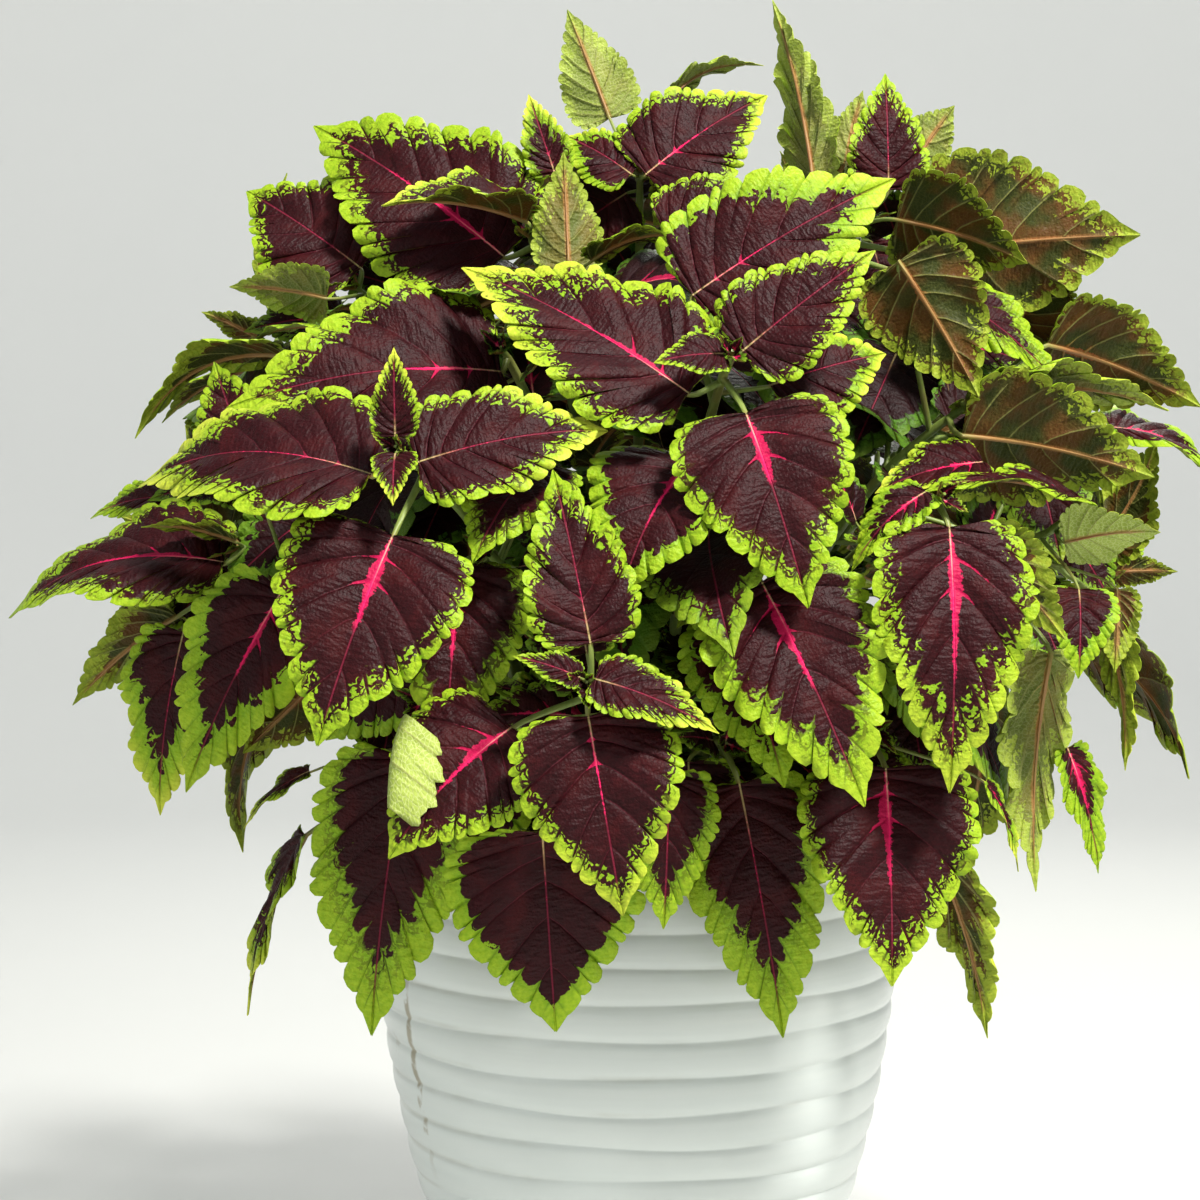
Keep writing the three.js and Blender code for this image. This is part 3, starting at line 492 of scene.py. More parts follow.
FULL_LENGTH = 130  # millimetres: a blade this long has its full relief and thickness
LOBES = 14  # rounded teeth on each side of a blade
TOOTH = ((0.0, -0.88), (0.12, 0.06), (0.36, 0.42), (0.64, 0.46), (0.88, 0.16))
LOBES_SMALL = 9
TOOTH_SMALL = ((0.0, -0.8), (0.35, 0.36), (0.72, 0.36))
LOBE_DEPTH = 0.034
EDGE_ENDS = (0.008, 0.995)  # the first and the last place on a half outline, as shares of it
PLAIN_BASE = 0.02  # the shares of the edge at the base and at the tip that have no teeth
PLAIN_TIP = 0.075
TEETH_GROW = (0.1, 0.2)  # over which shares the teeth grow, from the base and from the tip
LAST_NOTCH = -0.1
UNEVEN = {"place": 0.017, "depth": 0.35}  # how far teeth differ in place and in depth
FINE = np.linspace(0.002, 0.9995, 600)  # the steps in which an outline is measured
ACROSS = (0.0, 0.25, 0.56, 0.84, 1.0)  # columns from the midrib to the edge
ACROSS_SMALL = (0.0, 0.55, 1.0)
RAY_POWER = 2.8  # how far towards the base the side veins leave the midrib
VEIN_BEND = 1.3
TIP_TAPER = 1.16
TWIST = 0.24
CURL = 0.12  # how far the edge turns down
DROP = 0.03  # how far the tip hangs
MIDRIB_DIP = {"depth": 0.011, "width": 0.02}
QUILT = 2.2  # millimetres that the blade bulges between its veins
EDGE_WAVE = 4.6  # millimetres
BEADS = {"from": 0.7, "height": 3.4}  # how the teeth bulge, near the edge
THICK_MIDRIB = 1.1  # millimetres
THICK_EDGE = 0.4
MARGIN = {"width": 0.092, "short": 0.35, "base": 0.25, "grow": 0.2, "tip": 0.45}


def edge_rows(lobes, tooth):
    """Places along a half outline, by arc length, and how far each stands out as a tooth."""
    rows = [(EDGE_ENDS[0], 0.0, 0.0)]
    for lobe in range(lobes):
        for step, rise in tooth:
            share = (lobe + step) / lobes * (1 - PLAIN_TIP)
            if share > PLAIN_BASE:
                taper = min(1.0, share / TEETH_GROW[0], (1 - share) / TEETH_GROW[1])
                rows.append((share, lobe + step, rise * taper))
    rows += [(1 - PLAIN_TIP, lobes, LAST_NOTCH), (EDGE_ENDS[1], lobes + 0.5, 0.0)]
    return np.array(rows)


EDGE_ROWS = edge_rows(LOBES, TOOTH)
EDGE_ROWS_SMALL = edge_rows(LOBES_SMALL, TOOTH_SMALL)


def half_edge(wide, rows, luck, side):
    """The toothed edge of half a blade, with teeth that aren't all alike."""
    a, x = outline(FINE, wide, taper=TIP_TAPER)
    arc = np.concatenate([[0], np.cumsum(np.hypot(np.diff(a), np.diff(x)))])
    arc /= arc[-1]
    share, lobe, rise = rows.T
    sway = np.sin(lobe * 2.1 + luck * 40 + side * 2) * np.minimum(1, 5 * share * (1 - share))
    place = share + UNEVEN["place"] * sway
    rise = rise * (1 + UNEVEN["depth"] * np.sin(lobe * 1.7 + luck * 31 + side))
    edge_a, edge_x = np.interp(place, arc, a), np.interp(place, arc, x)
    slope_a = np.interp(place, arc, np.gradient(a, arc))
    slope_x = np.interp(place, arc, np.gradient(x, arc))
    out = LOBE_DEPTH * rise / np.hypot(slope_a, slope_x)
    return edge_a - out * slope_x, edge_x + out * slope_a


def half_blade(wide, length, luck, side, small):
    """Half of a blade as rays from its midrib to its edge: eight fields of rows and columns."""
    rows = EDGE_ROWS_SMALL if small else EDGE_ROWS
    v = np.array(ACROSS_SMALL if small else ACROSS)
    share, lobe, rise = rows.T
    edge_a, edge_x = half_edge(wide, rows, luck, side)
    root_a = share ** RAY_POWER
    a = root_a[:, None] + (edge_a - root_a)[:, None] * v ** VEIN_BEND
    x = edge_x[:, None] * v
    step_a, step_x = np.gradient(a, axis=0), np.gradient(x, axis=0)
    spread = np.hypot(step_a, step_x) / np.gradient(lobe)[:, None] * length
    margin = MARGIN["width"] * (1 + MARGIN["short"] * (1 - clamp(length / FULL_LENGTH, 0, 1)))
    margin = margin * np.minimum(1, MARGIN["base"] + share / MARGIN["grow"])
    margin = margin * (1 - MARGIN["tip"] * share ** 3)
    reach = np.minimum(np.hypot(edge_a - root_a, edge_x), np.abs(edge_x) * 1.1)
    inward = (1 - v) * (reach / margin)[:, None]
    fields = (a, x * side, v, lobe[:, None], share[:, None], rise[:, None], spread, inward)
    return np.stack(np.broadcast_arrays(*fields))


def fullness(length):
    """How strong a blade's relief is: the less, the shorter it is."""
    return clamp(length / FULL_LENGTH, 0.3, 1.2)


def fraction(value):
    return math.fmod(value, 1)


def twist(a, x, luck):
    """How far a blade's halves turn about its midrib towards the tip, one up and one down."""
    return TWIST * (2 * fraction(luck * 13) - 1) * a * x


def hang(a):
    """How far a blade has sunk towards its tip, under its own weight."""
    return -DROP * np.maximum(a, 0) ** 3


def blade_lift(a, x, v, lobes, shares, rise, luck, length):
    """How far each point of a blade stands off its plain form: quilting, waves, beads and bends."""
    vein = (lobes - 1) / 2
    quilt = (np.abs(np.sin(np.pi * vein)) ** 0.85 - 0.6) * np.sin(np.pi * np.minimum(1, v * 1.1))
    phase = luck * 3 + np.sign(x) * (0.12 + 0.2 * fraction(luck * 17))
    wave = np.sin(2 * np.pi * (shares * (2.1 + 1.6 * fraction(luck * 5)) + phase))
    wave = wave * v ** 2 * np.sin(np.pi * np.clip(shares, 0, 1))
    beads = rise * np.maximum(0, v - BEADS["from"]) * BEADS["height"]
    lift = (quilt * QUILT + wave * EDGE_WAVE + beads) * fullness(length) / length
    lift = lift - CURL * v ** 3 * np.abs(x) + hang(a) + twist(a, x, luck)
    return lift - MIDRIB_DIP["depth"] * np.exp(-((x / MIDRIB_DIP["width"]) ** 2)) * (1 - a)


def closed_sheet(rows, columns):
    """Faces and material picks of a thin sheet: its upper grid, its lower one and the rim."""
    count = rows * columns
    faces = grid_faces(rows, columns, flip=True) + grid_faces(rows, columns, start=count)
    quads = (rows - 1) * (columns - 1)
    loop = list(range(columns))
    loop += [row * columns + columns - 1 for row in range(1, rows)]
    loop += [(rows - 1) * columns + column for column in range(columns - 2, -1, -1)]
    loop += [row * columns for row in range(rows - 2, 0, -1)]
    for here, after in zip(loop, loop[1:] + loop[:1]):
        faces.append((here, after, count + after, count + here))
    return faces, [0] * quads + [1] * quads + [0] * len(loop)


def sheet(leaf, a, x, lift, thick, place, grid, look):
    """Points, faces, picks and point vectors of a sheet on a leaf, with both faces marked alike."""
    upper = leaf.at(a, x, lift).reshape(-1, 3)
    lower = leaf.at(a, x, lift - thick / leaf.length()).reshape(-1, 3)
    marks = [np.stack(np.broadcast_arrays(*mark), -1).reshape(-1, 3) for mark in (place, grid, look)]
    faces, picks = closed_sheet(*a.shape)
    return np.concatenate([upper, lower]), faces, picks, [np.tile(mark, (2, 1)) for mark in marks]


def blade(leaf, luck, tint, small=False):
    """One blade, a thin closed sheet."""
    length = leaf.length()
    left, right = (half_blade(leaf.wide, length, luck, side, small) for side in (-1, 1))
    a, x, v, lobes, shares, rise, spread, inward = np.concatenate([left[:, :, :0:-1], right], axis=2)
    lift = blade_lift(a, x, v, lobes, shares, rise, luck, length)
    thick = THICK_MIDRIB + (THICK_EDGE - THICK_MIDRIB) * np.sqrt(v)
    thick = thick * max(fullness(length), 0.6)
    marks = (x * length, a * length, inward), (lobes, spread, v), (luck, tint, a)
    return sheet(leaf, a, x, lift, thick, *marks)


FLAP = {
    "rows": 26, "columns": 10, "start": 0.5, "span": 0.36, "width": 0.33, "off": 0.012,
    "bulge": 0.05, "thick": 0.6,
}


def folded_flap(leaf, luck):
    """A piece of blade that is folded over from its left edge and shows its pale underside."""
    steps = (np.linspace(0, 1, FLAP[size]) for size in ("rows", "columns"))
    down, over = np.meshgrid(*steps, indexing="ij")
    a, x = outline(FLAP["start"] + FLAP["span"] * down, leaf.wide, taper=TIP_TAPER)
    ragged = 0.025 * np.sin(down * 21) + 0.015 * np.sin(down * 47 + 1)
    width = (FLAP["width"] + ragged) * np.sin(np.pi * np.clip(down * 0.86 + 0.1, 0, 1)) ** 0.35
    lift = FLAP["off"] + FLAP["bulge"] * np.sin(np.pi * over ** 0.6) + 0.008 * np.sin(down * 17) * over
    a_over, x_over = a - 0.1 * over * width, -(x - over * width)
    lift = lift + hang(a) + twist(a_over, x_over, luck)
    length = leaf.length()
    marks = (over * width * length + 12, a * length, 3), (down * 5, 9, 0.5), (luck, 1, 0.8)
    marks = [np.broadcast_arrays(*mark, a)[:3] for mark in marks]
    points, faces, picks, vectors = sheet(leaf, a_over, x_over, lift, FLAP["thick"], *marks)
    return points, faces, [1] * len(picks), vectors


# ---- Stems and petioles: their skins ----

STEM_RINGS = 25
STEM_SIDES = 16
STEM_FULLER = 1.12  # than the square solid, whose corners it rounds
SQUARE = 0.09
KNOTS = {"count": 7, "swell": 0.14, "width": 0.12}  # where a stem is a little thicker
RIB = {"points": 9, "reach": 0.88, "thin": 1.2, "end": 0.15, "fuller": 0.9, "sunk": 0.6}
STALK = {"points": 8, "fuller": 1.1, "pull": 0.35, "most_pull": 16, "full_length": 120}
STALK_SIDES = 6
STALK_SIDES_SMALL = 5


def tube(path, radii, sides, across, square=0.0):
    """A tapered tube on a path. With square above nought its section is a rounded square."""
    angles = around(sides, 0.5)
    bulge = 1 + square * np.cos(4 * (angles - np.pi / 4))
    points = []
    for at, way, radius in zip(path, np.gradient(np.asarray(path), axis=0), radii):
        way = unit(way)
        u = unit(across - way * np.dot(across, way))
        w = np.cross(way, u)
        section = np.outer(np.cos(angles) * bulge, u) + np.outer(np.sin(angles) * bulge, w)
        points.append(at + radius * section)
    return np.concatenate(points), ring_faces(len(path), sides)


def bezier(points, count):
    p, q, r, s = points
    t = np.linspace(0, 1, count)[:, None]
    return (1 - t) ** 3 * p + 3 * t * (1 - t) ** 2 * q + 3 * t * t * (1 - t) * r + t ** 3 * s


def petiole_tube(leaf, root, small):
    """The petiole from its root, and the midrib that runs on from it under the blade."""
    along, _, side = leaf.frame()
    length = leaf.length()
    scale = clamp(length / STALK["full_length"], 0.4, 1.0)
    thick = THICK_MIDRIB * max(fullness(length), 0.6)
    places = np.linspace(0.0, RIB["reach"], RIB["points"])
    rib_radii = PETIOLE["tip_radius"] * RIB["fuller"] * (1 - places) ** RIB["thin"] + RIB["end"]
    rib_radii = rib_radii * scale
    dips = hang(places) - MIDRIB_DIP["depth"] * (1 - places)
    dips = dips - (thick + rib_radii) * RIB["sunk"] / length
    rib = leaf.at(places, np.zeros(len(places)), dips)
    way = rib[0] - root
    reach = np.linalg.norm(way)
    pull = min(STALK["pull"] * reach, STALK["most_pull"])
    bend = rib[0] - (along + way / reach) * pull / 2
    stalk = bezier((root, root + way * STALK["pull"], bend, rib[0]), STALK["points"])[:-1]
    root_radius = PETIOLE["root_radius"] * STALK["fuller"] * max(scale, 0.6)
    stalk_radii = np.linspace(root_radius, rib_radii[0], STALK["points"])[:-1]
    sides = STALK_SIDES_SMALL if small else STALK_SIDES
    radii = np.concatenate([stalk_radii, rib_radii])
    points, faces = tube(np.concatenate([stalk, rib]), radii, sides, side)
    share = np.concatenate([np.linspace(0.05, 1, STALK["points"])[:-1], 1 + places])
    return points, faces, np.repeat(share, sides)


def stem_tube(stem):
    """The stem from deep in the soil to its growing tip."""
    foot = stem.top.copy()
    foot[2] = SOIL["edge_height"] - STEM["foot_depth"]
    steps = np.linspace(0, 1, STEM_RINGS)
    off_knot = (steps * KNOTS["count"] % 1 - 0.5) / KNOTS["width"]
    widths = stem.width(steps) * (1 + KNOTS["swell"] * np.exp(-off_knot ** 2))
    radii = np.concatenate([[stem.width(0)] * 2, widths]) * STEM_FULLER / 2
    radii[-1] *= 0.4
    path = [foot, (foot + stem.top) / 2] + [stem.curve(step) for step in steps]
    points, faces = tube(path, radii, STEM_SIDES, stem.outward, SQUARE)
    return points, faces, np.zeros(len(points))


# ---- Materials ----


def colour(text):
    """A colour written as in a style sheet, in the linear values that shaders take."""
    parts = [int(text[i:i + 2], 16) / 255 for i in (1, 3, 5)]
    linear = [c / 12.92 if c <= 0.04045 else ((c + 0.055) / 1.055) ** 2.4 for c in parts]
    return (*linear, 1.0)


class Value:
    """A number somewhere in a material's graph, which formulas can be written with."""

    def __init__(self, graph, socket):
        self.graph, self.socket = graph, socket

    def __add__(self, other):
        return self.graph.math("ADD", self, other)

    def __sub__(self, other):
        return self.graph.math("SUBTRACT", self, other)

    def __mul__(self, other):
        return self.graph.math("MULTIPLY", self, other)

    def __truediv__(self, other):
        return self.graph.math("DIVIDE", self, other)

    def __abs__(self):
        return self.graph.math("ABSOLUTE", self)

    __radd__ = __add__
    __rmul__ = __mul__

    def __rsub__(self, other):
        return self.graph.math("SUBTRACT", other, self)


class Graph:
    """A material with one principled shader, and short names for the nodes it needs."""

    def __init__(self, name, settings, flat=False):
        self.size = "2D" if flat else "3D"
        self.material = bpy.data.materials.new(name)
        self.material.use_nodes = True
        self.tree = self.material.node_tree
        self.shader = self.tree.nodes["Principled BSDF"]
        for socket, value in settings.items():
            self.shader.inputs[socket].default_value = value

    def node(self, kind, inputs=(), output=0, **settings):
        """A new node's output. Its inputs are given by name or number, as in put."""
        node = self.tree.nodes.new(f"ShaderNode{kind}")
        for name, value in settings.items():
            setattr(node, name, value)
        for name, value in dict(inputs).items():
            self.put(node.inputs[name], value)
        return Value(self, node.outputs[output])

    def put(self, socket, value):
        """Sets a socket to a number or a colour, or links it to a value of the graph."""
        if isinstance(value, Value):
            self.tree.links.new(value.socket, socket)
        else:
            socket.default_value = colour(value) if isinstance(value, str) else value

    def math(self, operation, *terms):
        return self.node("Math", enumerate(terms), operation=operation)

    def fract(self, value):
        return self.math("FRACT", value)

    def most(self, a, b):
        return self.math("MAXIMUM", a, b)

    def rise(self, value, low, high):
        """0 below low, 1 above high, smooth between."""
        inputs = {"Value": value, "From Min": low, "From Max": high}
        return self.node("MapRange", inputs, interpolation_type="SMOOTHSTEP")

    def fall(self, value, low, high):
        return 1.0 - self.rise(value, low, high)

    def mix(self, factor, a, b):
        """A colour between two others: the first where the factor is 0."""
        return self.node("Mix", {0: factor, 6: a, 7: b}, 2, data_type="RGBA")

    def split(self, vector):
        x = self.node("SeparateXYZ", {0: vector})
        return [Value(self, output) for output in x.socket.node.outputs]

    def join(self, x, y, z):
        return self.node("CombineXYZ", {0: x, 1: y, 2: z})

    def attribute(self, name):
        return self.split(self.node("Attribute", (), "Vector", attribute_name=name))

    def place(self):
        return self.node("TexCoord", (), "Object")

    def noise(self, vector, scale, detail=2.0, rough=0.5):
        inputs = {"Vector": vector, "Scale": scale, "Detail": detail, "Roughness": rough}
        return self.node("TexNoise", inputs, noise_dimensions=self.size)

    def cells(self, vector, scale, feature="F1", output="Distance"):
        inputs = {"Vector": vector, "Scale": scale}
        kinds = {"feature": feature, "voronoi_dimensions": self.size}
        return self.node("TexVoronoi", inputs, output, **kinds)

    def curve(self, value, points):
        """A smooth function through the points, both ways from 0 to 1."""
        result = self.node("FloatCurve", {"Value": value})
        mapping = result.socket.node.mapping
        line = mapping.curves[0]
        line.points[0].location, line.points[1].location = points[0], points[-1]
        for x, y in points[1:-1]:
            line.points.new(x, y)
        mapping.update()
        return result

    def bump(self, height, strength, distance):
        """Height is in units of the distance, which is in metres."""
        return self.node("Bump", {"Height": height, "Strength": strength, "Distance": distance})

    def finish(self, **links):
        for name, value in links.items():
            self.put(self.shader.inputs[name.replace("_", " ")], value)
        return self.material


# A blade's luck, times each of these, gives a fraction that sets one trait of its pattern.
LOOSE_TURNS = 3.7
SKEW_TURNS = 5.3
FLAME_TURNS = 7.3
STOP_TURNS = 9.1
NET_TURNS = 11.3

# The flame's width from a blade's base to its tip, both as shares.
FLAME_FORM = (
    (0, 0.1), (0.06, 0.2), (0.13, 0.5), (0.22, 0.8), (0.34, 0.42), (0.48, 0.26), (0.62, 0.1), (1, 0),
)
FLAME_LENGTH = 150.0  # millimetres: the length of a blade whose flame is as wide as written


def leaf_flame(g, f):
    """Where a blade is magenta: along its midrib, with spurs along the side veins."""
    size = f.y / g.most(f.a, 0.02) / FLAME_LENGTH
    width = g.curve(f.a, FLAME_FORM)
    bold = g.fract(f.luck * FLAME_TURNS)
    strength = 0.1 + bold * bold * 1.05
    skew = 1.0 + f.side * (g.fract(f.luck * SKEW_TURNS) - 0.5) * 1.3
    stop = 0.36 + g.fract(f.luck * STOP_TURNS) * 0.34
    ragged = g.noise(f.spot, 0.3, 2.0, 0.7) - 0.5
    faint = g.fall(strength, 0.1, 0.55)
    body = width * 5.8 * size * strength * skew * (1.0 - faint * 0.7)
    edge = body + ragged * 4.2 * (0.25 + strength) - faint * 0.15
    flame = g.fall(abs(f.x) - edge, -0.35, 0.25) * g.rise(width, 0.08, 0.16)
    flame = flame * g.fall(f.a, stop - 0.07, stop)
    reach = width * (24.0 + ragged * 30.0) * size * strength * skew + 0.6
    spur = g.fall(f.near_vein * 0.5 + abs(f.x) / reach, 0.8, 1.0) * g.rise(f.a, 0.03, 0.09)
    spur = spur * g.fall(f.a, 0.26, 0.36) * g.rise(width, 0.15, 0.3)
    return g.most(flame, spur * g.rise(strength, 0.12, 0.3))


def leaf_margin(g, f, wander, jitter):
    """Where a blade is lime: in its margin, but for the chunks, seams and slits that cut into it."""
    loose = g.fract(f.luck * LOOSE_TURNS)
    netted = g.rise(g.fract(f.luck * NET_TURNS), 0.1, 0.5)
    along = f.lobe * 1.5 + jitter * 1.4 + f.side * 57.3
    tile = g.join(along, f.inward * 2.7 + wander * 1.6 + f.luck * 331.0, 0.0)
    chunk = g.split(g.cells(tile, 1.0, output="Color"))[0] - 0.5
    lime = g.fall(f.inward + wander * 0.3 + chunk * (0.3 + loose * 0.75), 0.88, 0.94)
    crack = g.cells(tile, 1.0, "DISTANCE_TO_EDGE")
    start = 0.35 - loose * 0.15 - netted * 0.12
    zone = g.rise(f.inward + wander * 0.9, start, start + 0.4)
    fine = 0.03 + netted * 0.03
    seam = g.fall(crack, fine + f.inward * 0.09, fine + 0.08 + f.inward * 0.12) * zone * netted
    notch = f.near_notch / (0.7 + netted * 0.9)
    slit = g.fall(notch, 0.2 + f.inward * 0.5, 0.5 + f.inward * 0.9)
    slit = slit * g.rise(f.inward, 0.08, 0.2) * f.toothed
    return lime * (1.0 - g.most(seam, slit * (0.2 + netted * 0.8)))


def leaf_fields(g):
    """What both faces of a blade share: its coordinates, in millimetres, veins and pattern."""
    f = SimpleNamespace()
    f.x, f.y, f.inward = g.attribute("leaf_place")
    f.lobe, spread, f.v = g.attribute("leaf_grid")
    f.luck, tint, f.a = g.attribute("leaf_look")
    f.side = g.math("SIGN", f.x)
    f.spot = g.join(f.x + f.luck * 997.0, f.y + f.luck * 613.0, 0.0)
    wander = g.noise(f.spot, 0.16, 2.0) - 0.5
    jitter = g.noise(f.spot, 0.3, 1.0) - 0.5
    f.grain = jitter + 0.5
    f.near_notch = abs(g.fract(f.lobe + 0.5) - 0.5) * spread
    f.near_vein = abs(g.fract((f.lobe - 1.0) * 0.5 + 0.5) - 0.5) * spread * 2.0
    f.net = g.cells(f.spot, 0.36, "DISTANCE_TO_EDGE") / 0.36
    f.toothed = g.fall(f.a, 0.8, 0.95)
    f.rib = g.fall(abs(f.x), 0.3, 0.9)
    # Paleness is a blade's own; a negative tint is painted shade, which darkens blades deep inside the
    # plant.
    f.pale, f.deep = g.most(tint, 0.0), g.most(tint * -1.0, 0.0)
    f.lime = leaf_margin(g, f, wander, jitter)
    f.flame = leaf_flame(g, f)
    return f


def leaf_relief(g, f, out):
    """Quilting between the veins: out is 1 on the upper face, where veins are sunk, else -1."""
    side_vein = g.fall(f.near_vein, 0.1, 2.0) * g.rise(f.v, 0.02, 0.1)
    fine = g.noise(f.spot, 0.55, 1.0)
    crease = g.noise(g.join(f.x * 0.35 + f.luck * 99.0, f.y, 0.0), 0.3, 1.0)
    height = fine * -0.6 + side_vein * -0.6 + f.rib * -0.9 + crease * 1.2
    return g.bump(height * out, 0.7, 0.0012)


def blade_top():
    """The upper face: plum, with a lime margin and a magenta flame."""
    g = Graph("leaf_blade", {"Roughness": 0.5, "Specular IOR Level": 0.17}, flat=True)
    f = leaf_fields(g)
    broad = g.noise(f.spot, 0.045, 2.0)
    plum = g.mix(broad, "#120203", "#37060d")
    plum = g.mix(g.rise(broad, 0.52, 0.66) * 0.45, plum, "#400e0e")
    plum = g.mix(f.grain * 0.28, plum, "#501019")
    line = g.fall(f.near_vein, 0.1, 0.5) * g.fall(f.v, 0.3, 0.9) * 0.3
    plum = g.mix(line, plum, "#7c2a3d")
    plum = g.mix(g.fall(f.net, 0.05, 0.3) * 0.35, plum, "#140305")
    # Painted shade: the plum is darker on blades deep inside the plant.
    plum = g.mix(f.deep * 0.6, plum, "#120405")
    leafy = g.mix(f.grain, "#7ca416", "#acc62c")
    ripe = g.fall(f.inward, 0.0, 0.6) * g.rise(f.luck, 0.2, 0.9) * g.rise(f.a, 0.2, 0.9)
    leafy = g.mix(ripe * 0.75, leafy, "#dde04e")
    # Painted shade: the lime is darker green in the notches between the teeth, to round the beads.
    leafy = g.mix(g.fall(f.near_notch, 0.4, 2.2) * f.toothed * 0.5, leafy, "#5f8f14")
    leafy = g.mix(g.rise(f.inward, 0.3, 1.0) * 0.4, leafy, "#639a18")
    # Painted shade: the lime turns deep green on blades deep inside the plant.
    leafy = g.mix(f.deep * 0.85, leafy, "#37641a")
    flame = g.mix(g.fall(abs(f.x), 0.2, 1.8), "#b80f48", "#f02066")
    flame = g.mix(g.rise(f.a, 0.3, 0.75), flame, "#96203f")
    cream = g.fall(f.a, 0.04, 0.3) * g.fall(abs(f.x), 0.2, 0.75)
    flame = g.mix(cream * 0.75, flame, "#f3b3a2")
    base = g.mix(f.lime, plum, leafy)
    rib_tone = g.mix(g.rise(f.a, 0.0, 0.25), "#c9b77a", "#7e2238")
    base = g.mix(f.rib * g.fall(f.a, 0.75, 0.95) * 0.8, base, rib_tone)
    # Painted shade also dims the flame on blades deep inside the plant.
    base = g.mix(f.flame * (1.0 - f.deep * 0.35), base, flame)
    base = g.mix(f.pale * 0.75 * (1.0 - f.lime), base, leafy)
    rough = 0.48 - f.lime * 0.06 + broad * 0.14
    return g.finish(Base_Color=base, Roughness=rough, Normal=leaf_relief(g, f, 1.0))


def blade_under():
    """The lower face: olive to rusty, with raised tan veins. Pale blades are light green there."""
    g = Graph("leaf_underside", {"Roughness": 0.6, "Specular IOR Level": 0.25}, flat=True)
    f = leaf_fields(g)
    broad = g.noise(f.spot, 0.04, 2.0)
    olive = g.mix(g.rise(broad, 0.35, 0.65), "#343b0e", "#5a3810")
    olive = g.mix(g.fall(f.net, 0.05, 0.35) * 0.14, olive, "#777533")
    leafy = g.mix(f.grain, "#7f9a22", "#a9b436")
    # Painted shade: the lime is darker green in the notches between the teeth.
    leafy = g.mix(g.fall(f.near_notch, 0.4, 2.2) * 0.4, leafy, "#6a7f18")
    base = g.mix(f.lime, olive, leafy)
    base = g.mix(f.flame * 0.6, base, "#a8572c")
    light = g.mix(broad, "#8fa33f", "#b9cc62")
    light = g.mix(g.fall(f.net, 0.05, 0.4) * 0.5, light, "#d3dc98")
    base = g.mix(f.pale * 0.95, base, light)
    side_vein = g.fall(f.near_vein, 0.25, 0.8) * g.fall(f.v, 0.75, 1.0)
    base = g.mix(side_vein * 0.6, base, "#8f9050")
    rib = g.fall(abs(f.x), 1.0, 2.6) * g.fall(f.a, 0.6, 0.95)
    base = g.mix(rib * 0.75, base, g.mix(broad, "#b59a5c", "#a85c30"))
    return g.finish(Base_Color=base, Normal=leaf_relief(g, f, -1.0))


def stem_skin():
    """Green stems with brown parts, and tan midribs under the blades."""
    g = Graph("stem", {"Roughness": 0.45, "Specular IOR Level": 0.4})
    at = g.place()
    streaky = g.node("VectorMath", {0: at, 1: (420, 420, 40)}, operation="MULTIPLY")
    streak = g.noise(streaky, 1.0, 3.0)
    base = g.mix(streak, "#5d7a2c", "#93a552")
    base = g.mix(g.rise(g.noise(at, 22.0, 3.0), 0.5, 0.72) * 0.5, base, "#7c4a3c")
    base = g.mix(g.fall(g.split(at)[2], 0.47, 0.6) * 0.55, base, "#6d6138")
    share = g.attribute("stalk")[0]
    base = g.mix(g.rise(share, 0.2, 1.0) * 0.5, base, "#8f9a4e")
    rib = g.mix(g.noise(at, 30.0, 2.0), "#a88f55", "#9c5530")
    base = g.mix(g.rise(share, 0.9, 1.15), base, rib)
    height = streak * 0.6 + g.noise(at, 1400.0, 1.0) * 0.4
    return g.finish(Base_Color=base, Normal=g.bump(height, 0.35, 0.0006))


STREAK = {"angle": 1.02, "low": 0.2, "high": 0.37}  # radians to the left of the front; metres


def pot_glaze():
    """White glaze: patchy darker grey in the grooves, one brown streak, lichen, splashes at the foot.
    """
    g = Graph("pot_glaze", {"Roughness": 0.3, "Coat Weight": 0.25, "Coat Roughness": 0.12})
    at = g.place()
    x, y, z = g.split(at)
    band = g.join(x * 0.6, y * 0.6, z * 14.0)
    tone = g.noise(at, 6.0, 4.0)
    white = g.mix(tone, "#dae2df", "#e8ece8")
    white = g.mix(g.noise(band, 9.0, 3.0) * 0.3, white, "#c2cfce")
    groove = g.fall(abs(g.fract(z / (POT["rib_pitch"] * MM) + 0.5) - 0.5), 0.0, 0.14)
    # Patchy darker grey along the grooves.
    groove_darkening = groove * g.rise(g.noise(at, 11.0, 4.0), 0.42, 0.75)
    white = g.mix(groove_darkening * 0.5, white, "#a9a999")
    runs = g.noise(g.join(x * 3.0, y * 3.0, z * 0.5), 12.0, 4.0)
    aside = g.math("ARCTAN2", x, y * -1.0) + STREAK["angle"]
    streak = g.fall(abs(aside + (runs - 0.5) * 0.09), 0.008, 0.028)
    streak = streak * g.rise(z, STREAK["low"], STREAK["low"] + 0.06)
    streak = streak * g.fall(z, STREAK["high"] - 0.04, STREAK["high"])
    streak = streak * g.rise(g.noise(at, 60.0, 3.0), 0.43, 0.56)
    lichen = g.rise(g.noise(at, 34.0, 4.0, 0.6), 0.66, 0.74) * g.rise(g.noise(at, 5.0), 0.5, 0.65)
    white = g.mix(g.most(streak * 0.8, lichen * 0.3), white, "#8f8360")
    splash = g.fall(z, 0.0, 0.07) * g.rise(g.noise(at, 26.0, 4.0, 0.65), 0.42, 0.66)
    white = g.mix(splash * 0.45, white, "#8a7f69")
    height = g.noise(band, 16.0, 3.0) * 0.5 + g.noise(at, 120.0, 2.0) * 0.25
    rough = 0.24 + tone * 0.14 + splash * 0.3
    return g.finish(Base_Color=white, Roughness=rough, Normal=g.bump(height, 0.22, 0.0012))


